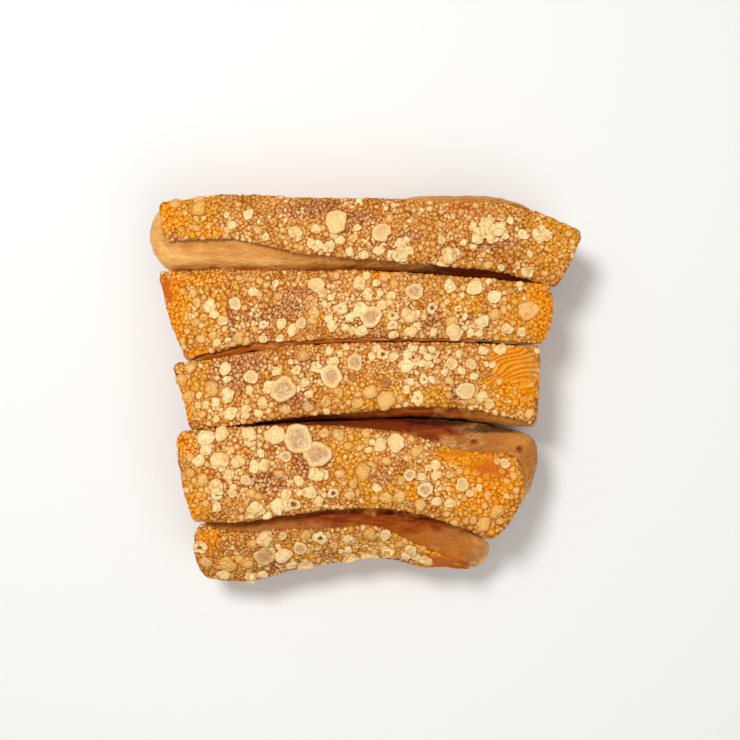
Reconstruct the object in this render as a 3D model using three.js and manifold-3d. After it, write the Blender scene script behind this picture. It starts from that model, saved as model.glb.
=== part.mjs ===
// Roast pork belly with its crackling, cut into five strips that lie side by side as they left the slab.
// Millimetres, +Z up. X runs along the strips and +Y is the side of the first strip. The slab rests on Z = 0.
// Each strip is one solid: a crackled skin on top, and under it a belly whose fat bulges and whose meat
// draws in.
import * as THREE from "three";
import { mergeVertices } from "three/addons/utils/BufferGeometryUtils.js";
import Module from "manifold-3d";

const MIDDLE = { x: -1.13, y: -0.84 }; // the slab's middle as the tables below measure it

const STEPS_ALONG = 18; // faces along a strip
const STEPS_ACROSS = 4; // faces across its skin

const CROWN = 1.5; // how far the skin's middle stands above its edges
const NEIGHBOUR_GAP = 0.35; // what a blister leaves open to the next strip

// The side of a strip from the skin down. down: depth in mm below the skin's edge, or share: height as
// a share of the strip's own. belly: 0 on the skin's outline, 1 on the belly's. out: mm further out, or in
// where negative.
const SIDE = [
  { down: 0, belly: 0, out: 0 }, // edge of the skin
  { down: 2.2, belly: 0, out: 0.3 }, // puffed edge of the crackling
  { down: 4.4, belly: 0.6, out: -0.2 }, // fat that swells out from under the crackling
  { share: 0.7, belly: 1, out: 0 }, // first layer of fat
  { share: 0.52, belly: 1, out: -1.0 }, // meat, shrunk back
  { share: 0.34, belly: 1, out: -0.1 }, // second layer of fat
  { share: 0.1, belly: 0.95, out: -0.5 }, // lower meat
  { share: 0, belly: 0.9, out: -2.0 }, // rounded lower edge
];

// north and south: y of the skin's two long edges at seven even places from the left end to the right end.
// northBelly and southBelly: how far the belly stands past those edges.
// leftSkin, leftBelly, rightSkin, rightBelly: x of that end at the north and the south corner, and how far
// the end bows out between them.
// northTop and southTop: height of the two edges at the left, the middle and the right.
// blisters: the large ones, each x, y and radius.
// bare: smooth skin without blisters, each x, y, radius along X and radius along Y.
const STRIPS = [
  {
    name: "strip_1",
    colour: 0xd2924e,
    north: [64.5, 67.3, 66.0, 65.8, 64.6, 63.7, 54.8],
    south: [51.8, 52.2, 47.6, 45.2, 43.5, 41.4, 35.9],
    northBelly: [0.4, 0.4, 0.4, 0.6, 3.6, 3.2, 0.8],
    southBelly: [10.4, 10.3, 6.2, 3.6, 2.8, 3.0, 0],
    leftSkin: [-72.3, -70.0, 0.2],
    leftBelly: [-73.0, -71.0, 5.5],
    rightSkin: [75.0, 66.0, 1.2],
    rightBelly: [74.4, 65.0, 1.0],
    northTop: [33.0, 36.0, 35.0],
    southTop: [37.5, 37.5, 35.5],
    blisters: [
      [-10.3, 58.2, 3.9],
      [5.2, 54.0, 3.2],
      [12.3, 46.0, 3.4],
      [28.5, 45.3, 3.2],
      [42.0, 55.0, 4.4],
      [60.5, 53.3, 3.1],
      [-58.5, 62.2, 2.6],
      [-58.6, 66.6, 1.9],
      [-25.0, 53.5, 2.5],
      [-13.2, 49.6, 2.1],
      [-18.4, 50.4, 2.2],
      [-66.5, 65.4, 1.8],
      [-41.5, 60.3, 1.8],
      [-47.2, 57.0, 1.6],
      [55.5, 41.2, 2.4],
      [0.0, 47.0, 1.8],
    ],
    bare: [],
  },
  {
    name: "strip_2",
    colour: 0xdb9b59,
    north: [40.0, 40.8, 40.2, 40.5, 39.3, 37.3, 35.4],
    south: [9.8, 14.4, 16.0, 17.0, 16.9, 16.5, 15.4],
    northBelly: [0, 0, 0, 0, 0, 0, 0],
    southBelly: [0.3, 0.8, 0.9, 1.0, 0.8, 0.6, 0.1],
    leftSkin: [-72.3, -62.2, 1.2],
    leftBelly: [-71.6, -64.6, 1.4],
    rightSkin: [63.2, 61.6, 2.0],
    rightBelly: [62.8, 61.0, 1.6],
    northTop: [36.0, 37.0, 37.0],
    southTop: [35.0, 37.5, 36.5],
    blisters: [
      [0.6, 24.8, 4.6],
      [-17.0, 35.2, 3.1],
      [16.7, 33.5, 2.9],
      [38.0, 35.0, 2.8],
      [31.0, 18.6, 3.0],
      [15.5, 26.0, 3.2],
      [16.8, 19.7, 3.0],
      [55.6, 26.8, 3.6],
      [44.8, 31.5, 2.4],
      [41.0, 23.0, 2.7],
      [-25.6, 20.2, 2.4],
      [-22.0, 22.6, 2.1],
      [-55.0, 28.7, 2.0],
      [-43.5, 15.0, 2.6],
      [-46.4, 29.3, 2.1],
      [-38.7, 33.6, 2.0],
      [29.0, 35.8, 2.3],
      [-3.2, 36.3, 2.3],
      [-8.8, 28.6, 2.5],
      [45.3, 25.2, 2.0],
      [49.3, 20.3, 2.0],
    ],
    bare: [[-69.5, 33.0, 2.6, 5.5]],
  },
  {
    name: "strip_3",
    colour: 0xdd9f57,
    north: [7.5, 10.8, 14.2, 15.2, 15.4, 15.0, 14.0],
    south: [-14.5, -12.2, -9.5, -7.8, -6.2, -7.6, -12.6],
    northBelly: [0, 0, 0, 0, 0, 0, 0],
    southBelly: [0, 0.2, 1.4, 2.8, 4.0, 4.7, 1.6],
    leftSkin: [-67.6, -61.6, -0.8],
    leftBelly: [-67.2, -61.6, -0.4],
    rightSkin: [60.2, 58.8, 0.2],
    rightBelly: [60.6, 60.4, 0.9],
    northTop: [36.5, 36.5, 37.0],
    southTop: [36.0, 38.0, 37.0],
    blisters: [
      [-31.0, -0.8, 5.4],
      [-12.5, 3.8, 3.9],
      [-4.2, 8.8, 2.7],
      [6.8, -4.6, 3.4],
      [35.0, -1.4, 3.2],
      [-54.3, -0.6, 2.9],
      [-40.6, 3.8, 2.7],
      [-48.6, -2.3, 2.7],
      [-64.5, 2.6, 2.4],
      [-62.6, -3.2, 2.3],
      [-61.8, 6.6, 1.9],
      [13.7, 8.2, 3.2],
      [18.0, -4.6, 2.4],
      [29.4, 8.0, 2.2],
      [5.8, 11.5, 2.0],
      [-47.6, -9.6, 2.6],
      [-42.6, -9.4, 2.2],
      [36.0, 8.4, 2.0],
      [40.6, -3.2, 2.2],
      [42.6, -6.2, 1.8],
      [-14.3, -5.4, 2.1],
      [-37.0, -5.0, 2.1],
      [-22.0, 11.0, 2.1],
    ],
    bare: [
      [53.5, 8.0, 7.5, 6.5],
      [55.5, -2.0, 4.5, 5.5],
    ],
  },
  {
    name: "strip_4",
    colour: 0xd99958,
    north: [-16.0, -14.6, -13.8, -14.6, -16.8, -22.4, -24.9],
    south: [-46.5, -46.8, -43.8, -42.1, -42.3, -46.4, -53.2],
    northBelly: [0, 0.2, 0.6, 2.4, 5.0, 9.6, 7.1],
    southBelly: [0, 0, 0, 0, 0, 0, 0],
    leftSkin: [-65.2, -60.3, 1.5],
    leftBelly: [-64.8, -60.0, 1.4],
    rightSkin: [52.2, 44.0, 6.0],
    rightBelly: [59.8, 44.2, 6.9],
    northTop: [37.5, 37.5, 35.0],
    southTop: [36.5, 38.5, 36.0],
    blisters: [
      [-23.8, -18.2, 4.3],
      [-17.3, -22.6, 3.9],
      [-32.0, -17.2, 2.9],
      [-41.8, -17.2, 2.6],
      [-50.2, -17.4, 2.5],
      [-56.6, -19.0, 3.2],
      [-52.6, -24.8, 2.9],
      [-39.5, -42.0, 3.0],
      [-31.0, -41.6, 2.7],
      [-26.0, -40.2, 2.1],
      [10.2, -19.6, 2.8],
      [5.0, -20.4, 2.3],
      [20.2, -35.6, 2.7],
      [14.6, -30.8, 2.2],
      [-17.4, -29.6, 3.0],
      [-19.2, -36.6, 2.4],
      [33.2, -33.6, 2.7],
      [28.4, -39.6, 2.4],
      [-37.0, -27.6, 2.9],
      [-44.6, -26.0, 2.5],
      [-60.4, -26.0, 2.4],
      [-28.3, -24.4, 2.0],
      [-54.0, -36.5, 2.5],
      [-28.0, -36.6, 2.1],
      [18.6, -41.4, 2.4],
      [45.0, -44.0, 2.8],
      [0.0, -29.6, 3.4],
    ],
    bare: [
      [30.5, -23.0, 7.0, 2.6],
      [41.5, -28.0, 6.5, 3.8],
    ],
  },
  {
    name: "strip_5",
    colour: 0xc58c4a,
    north: [-48.8, -51.4, -50.2, -50.2, -49.2, -56.2, -62.2],
    south: [-68.8, -69.7, -65.5, -62.6, -60.9, -64.0, -65.4],
    northBelly: [1.3, 4.0, 5.7, 7.4, 5.9, 9.2, 8.4],
    southBelly: [-2.0, -2.0, -2.0, -1.6, -1.2, -0.6, 0.2],
    leftSkin: [-58.6, -57.2, 3.0],
    leftBelly: [-58.0, -56.0, 1.6],
    rightSkin: [36.0, 38.8, 0.8],
    rightBelly: [41.0, 40.4, 3.6],
    northTop: [34.0, 36.5, 33.0],
    southTop: [24.0, 23.0, 24.0],
    blisters: [
      [-35.7, -52.6, 2.8],
      [-29.0, -58.4, 2.9],
      [-23.0, -56.2, 2.4],
      [-37.0, -59.0, 3.2],
      [-47.5, -62.6, 3.4],
      [15.4, -57.0, 2.6],
      [20.6, -60.4, 2.2],
      [-16.0, -52.4, 2.7],
      [-5.8, -61.2, 2.6],
      [7.0, -51.6, 2.4],
      [7.2, -57.4, 2.3],
      [-58.4, -55.6, 2.6],
      [-20.0, -62.0, 2.5],
      [-6.4, -55.8, 2.2],
      [0.6, -59.4, 2.2],
      [-55.0, -62.0, 2.2],
    ],
    bare: [[30.0, -60.0, 8.5, 3.4]],
  },
];

// The blisters between the large ones are drawn from these sizes, largest first, by darts thrown at the skin.
const BLISTER_SEED = 7;
const DARTS = [
  { radius: 2.3, throws: 90, most: 5 },
  { radius: 1.9, throws: 150, most: 5 },
];
const DART_SPACING = 0.86; // share of two radii that their centres keep apart
const BLISTER_RISE = 0.62; // height of a blister as a share of its radius
const LARGE_RADIUS = 3.3; // from here on a blister is flatter and has more faces
const LARGE_RISE = 0.42;

const PLACING_ROUNDS = 12; // steps that find where a point of the plan lies on a skin
const NORMAL_REACH = 0.02; // share of the skin over which its slope is taken
const MERGE_DISTANCE = 1e-4;

const wasm = await Module();
wasm.setup();

const { clamp, lerp } = THREE.MathUtils;

// Numbers between 0 and 1 in an order that the seed sets.
function randomFrom(seed) {
  let state = seed;
  return () => {
    state = (Math.imul(state, 1664525) + 1013904223) >>> 0;
    return state / 2 ** 32;
  };
}

// A smooth long edge through y values at even places between two ends.
function longEdge(startX, endX, values) {
  const last = values.length - 1;
  return new THREE.SplineCurve(
    values.map((y, i) => new THREE.Vector2(lerp(startX, endX, i / last), y)),
  );
}

// The height at a place along an edge, on the parabola through its left, middle and right height.
function heightAlong([left, middle, right], along) {
  const bend = 2 * (left + right - 2 * middle);
  return lerp(left, right, along) - bend * along * (1 - along);
}

// An outline between two long edges and two ends that bow out. along runs from 0 at the left end to 1 at the
// right, and across from 0 at the north edge to 1 at the south edge.
class Outline {
  constructor(north, south, [leftNorth, leftSouth, leftBow], [rightNorth, rightSouth, rightBow]) {
    this.north = longEdge(leftNorth, rightNorth, north);
    this.south = longEdge(leftSouth, rightSouth, south);
    this.leftBow = leftBow;
    this.rightBow = rightBow;
  }

  point(along, across) {
    const point = this.north.getPoint(along).lerp(this.south.getPoint(along), across);
    const bow = 1 - (2 * across - 1) ** 2;
    point.x += bow * lerp(-this.leftBow, this.rightBow, along);
    return point;
  }
}

// The [along, across] of each point round a skin's edge, clockwise seen from above.
function edgeWalk() {
  const walk = [];
  for (let i = 0; i < STEPS_ALONG; i++) walk.push([i / STEPS_ALONG, 0]);
  for (let i = 0; i < STEPS_ACROSS; i++) walk.push([1, i / STEPS_ACROSS]);
  for (let i = STEPS_ALONG; i > 0; i--) walk.push([i / STEPS_ALONG, 1]);
  for (let i = STEPS_ACROSS; i > 0; i--) walk.push([0, i / STEPS_ACROSS]);
  return walk;
}

class Strip {
  constructor(sizes) {
    this.sizes = sizes;
    this.skin = new Outline(sizes.north, sizes.south, sizes.leftSkin, sizes.rightSkin);
    this.belly = new Outline(
      sizes.north.map((y, i) => y + sizes.northBelly[i]),
      sizes.south.map((y, i) => y - sizes.southBelly[i]),
      sizes.leftBelly,
      sizes.rightBelly,
    );
  }

  height(along, across) {
    const { northTop, southTop } = this.sizes;
    const edge = lerp(heightAlong(northTop, along), heightAlong(southTop, along), across);
    return edge + CROWN * (1 - (2 * across - 1) ** 4) * (1 - (2 * along - 1) ** 16);
  }

  skinPoint(along, across) {
    const { x, y } = this.skin.point(along, across);
    return new THREE.Vector3(x, y, this.height(along, across));
  }

  skinNormal(along, across) {
    const [a, b] = [clamp(along, 0.05, 0.95), clamp(across, 0.15, 0.85)];
    const alongward = this.skinPoint(a + NORMAL_REACH, b).sub(this.skinPoint(a - NORMAL_REACH, b));
    const northward = this.skinPoint(a, b - NORMAL_REACH).sub(this.skinPoint(a, b + NORMAL_REACH));
    return alongward.cross(northward).normalize();
  }

  // The [along, across] of the skin's point over a point of the plan.
  placeOf(x, y) {
    let [along, across] = [0.5, 0.5];
    for (let round = 0; round < PLACING_ROUNDS; round++) {
      const here = this.skin.point(along, across);
      const length = this.skin.point(1, across).x - this.skin.point(0, across).x;
      const width = this.skin.point(along, 0).y - this.skin.point(along, 1).y;
      along = clamp(along + (x - here.x) / length, 0, 1);
      across = clamp(across + (here.y - y) / width, 0, 1);
    }
    return [along, across];
  }

  isBare({ x, y }) {
    return this.sizes.bare.some(([cx, cy, rx, ry]) => ((x - cx) / rx) ** 2 + ((y - cy) / ry) ** 2 < 1);
  }

  // One ring round the strip at a row of SIDE.
  ring({ down, share, belly, out }) {
    const walk = edgeWalk();
    const flat = walk.map(([along, across]) =>
      this.skin.point(along, across).lerp(this.belly.point(along, across), belly),
    );
    const outward = flat.map((_, i) => {
      const before = flat.at(i - 1);
      const after = flat[(i + 1) % flat.length];
      return new THREE.Vector2(before.y - after.y, after.x - before.x).normalize();
    });
    return flat.map((point, i) => {
      const top = this.height(...walk[i]);
      const { x, y } = point.addScaledVector(outward[i], out);
      return new THREE.Vector3(x, y, share === undefined ? top - down : top * share);
    });
  }

  // The strip without its blisters: a grid on top, rings down the side and a flat underside.
  body() {
    const around = 2 * (STEPS_ALONG + STEPS_ACROSS);
    const points = SIDE.flatMap((row) => this.ring(row));
    const faces = [];
    for (let level = 0; level + 1 < SIDE.length; level++)
      for (let i = 0; i < around; i++) {
        const [upper, lower] = [level * around, (level + 1) * around];
        const next = (i + 1) % around;
        faces.push([upper + i, upper + next, lower + next], [upper + i, lower + next, lower + i]);
      }

    const inner = points.length;
    for (let i = 1; i < STEPS_ALONG; i++)
      for (let j = 1; j < STEPS_ACROSS; j++)
        points.push(this.skinPoint(i / STEPS_ALONG, j / STEPS_ACROSS));
    const onTop = (i, j) => {
      if (j === 0) return i;
      if (i === STEPS_ALONG) return STEPS_ALONG + j;
      if (j === STEPS_ACROSS) return 2 * STEPS_ALONG + STEPS_ACROSS - i;
      if (i === 0) return around - j;
      return inner + (i - 1) * (STEPS_ACROSS - 1) + (j - 1);
    };
    for (let i = 0; i < STEPS_ALONG; i++)
      for (let j = 0; j < STEPS_ACROSS; j++) {
        const [a, b, c, d] = [onTop(i, j), onTop(i + 1, j), onTop(i, j + 1), onTop(i + 1, j + 1)];
        faces.push([a, c, d], [a, d, b]);
      }

    const foot = (SIDE.length - 1) * around;
    const footOutline = points.slice(foot, foot + around).map(({ x, y }) => new THREE.Vector2(x, y));
    for (const [a, b, c] of THREE.ShapeUtils.triangulateShape(footOutline, []))
      faces.push([foot + a, foot + c, foot + b]);
    return solidOf(new THREE.BufferGeometry().setFromPoints(points).setIndex(faces.flat()));
  }

  // Every blister: the large ones where they are, then darts that miss all others, the edges and bare skin.
  blisters(random) {
    const found = this.sizes.blisters.map(([x, y, radius]) => {
      const place = this.placeOf(x, y);
      return { at: this.skinPoint(...place), normal: this.skinNormal(...place), radius };
    });
    for (const { radius, throws, most } of DARTS) {
      let landed = 0;
      for (let i = 0; i < throws && landed < most; i++) {
        const [along, across] = [random(), random()];
        const at = this.skinPoint(along, across);
        const toEdge = Math.min(...[0, 1].map((edge) => at.distanceTo(this.skinPoint(along, edge))));
        const apart = (other) => at.distanceTo(other.at) > DART_SPACING * (radius + other.radius);
        const clear = found.every(apart);
        if (!clear || toEdge < radius || this.isBare(at)) continue;
        found.push({ at, normal: this.skinNormal(along, across), radius });
        landed++;
      }
    }
    return found;
  }
}

function solidOf(geometry) {
  const bare = new THREE.BufferGeometry()
    .setAttribute("position", geometry.getAttribute("position"))
    .setIndex(geometry.index);
  const merged = mergeVertices(bare, MERGE_DISTANCE);
  return new wasm.Manifold(
    new wasm.Mesh({
      numProp: 3,
      vertProperties: new Float32Array(merged.getAttribute("position").array),
      triVerts: new Uint32Array(merged.index.array),
    }),
  );
}

function geometryOf(solid) {
  const mesh = solid.getMesh();
  return new THREE.BufferGeometry()
    .setAttribute("position", new THREE.BufferAttribute(mesh.vertProperties, 3))
    .setIndex(new THREE.BufferAttribute(mesh.triVerts, 1));
}

// A blister: a ball flattened along the skin's normal, so that its upper half stands out of the skin.
function blisterSolid({ at, normal, radius }, random) {
  const large = radius >= LARGE_RADIUS;
  const ball = large ? new THREE.IcosahedronGeometry(1, 1) : new THREE.OctahedronGeometry(1, 1);
  ball.rotateZ(random() * Math.PI);
  ball.scale(radius, radius, radius * (large ? LARGE_RISE : BLISTER_RISE));
  ball.applyQuaternion(new THREE.Quaternion().setFromUnitVectors(new THREE.Vector3(0, 0, 1), normal));
  ball.translate(at.x, at.y, at.z);
  return solidOf(ball);
}

// A body and its blisters in one. The strips next to it, moved closer by the gap, cut the blisters back.
function stripSolid(strip, index, body, northOfIt, southOfIt) {
  const random = randomFrom(BLISTER_SEED + index);
  const balls = strip.blisters(random).map((blister) => blisterSolid(blister, random));
  let blisters = wasm.Manifold.union(balls);
  if (northOfIt) blisters = blisters.subtract(northOfIt.translate([0, -NEIGHBOUR_GAP, 0]));
  if (southOfIt) blisters = blisters.subtract(southOfIt.translate([0, NEIGHBOUR_GAP, 0]));
  return body.add(blisters);
}

const strips = STRIPS.map((sizes) => new Strip(sizes));
const solids = strips.map((strip) => strip.body());
const slab = new THREE.Group();
strips.forEach((strip, index) => {
  solids[index] = stripSolid(strip, index, solids[index], solids[index - 1], solids[index + 1]);
  const { name, colour } = strip.sizes;
  const crackling = new THREE.MeshStandardMaterial({ color: colour, roughness: 0.5, metalness: 0 });
  const mesh = new THREE.Mesh(geometryOf(solids[index]), crackling);
  mesh.name = name;
  slab.add(mesh);
});
slab.position.set(-MIDDLE.x, -MIDDLE.y, 0);

export default slab;
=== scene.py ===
# Roast pork belly in five strips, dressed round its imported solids: blistered crackling over fat and meat.
# Shapes are worked out in millimetres on the plan that the part's source uses, and put in place in metres.
import math
import random

import bpy
import numpy as np
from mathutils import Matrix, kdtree


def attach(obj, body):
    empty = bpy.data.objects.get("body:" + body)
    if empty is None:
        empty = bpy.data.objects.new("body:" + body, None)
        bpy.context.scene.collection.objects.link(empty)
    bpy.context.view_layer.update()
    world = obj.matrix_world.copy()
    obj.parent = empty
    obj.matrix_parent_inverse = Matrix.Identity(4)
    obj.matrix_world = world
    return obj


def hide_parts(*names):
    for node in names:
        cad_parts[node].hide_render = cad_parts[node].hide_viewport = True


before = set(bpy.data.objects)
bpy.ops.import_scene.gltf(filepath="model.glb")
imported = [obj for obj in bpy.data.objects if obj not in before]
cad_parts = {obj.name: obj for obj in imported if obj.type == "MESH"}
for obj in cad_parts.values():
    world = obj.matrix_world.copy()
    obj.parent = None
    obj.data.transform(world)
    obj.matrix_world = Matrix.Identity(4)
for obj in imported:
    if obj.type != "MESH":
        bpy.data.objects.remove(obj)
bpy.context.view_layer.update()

MM = 0.001
MIDDLE = np.array([-1.13, -0.84, 0.0])  # the slab's middle as the tables below measure it

# The eye looks straight down on this point of the plan, from this height over the crackling.
EYE = np.array([1.2, 6.0])
SKIN_LEVEL = 37.0
EYE_ABOVE_SKIN = 431.7
LENS, SENSOR = 60.0, 36.0

CROWN = 1.5  # how far the skin's middle stands above its edges
CORNER = 1.3  # how far the skin's corners are rounded back

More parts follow.
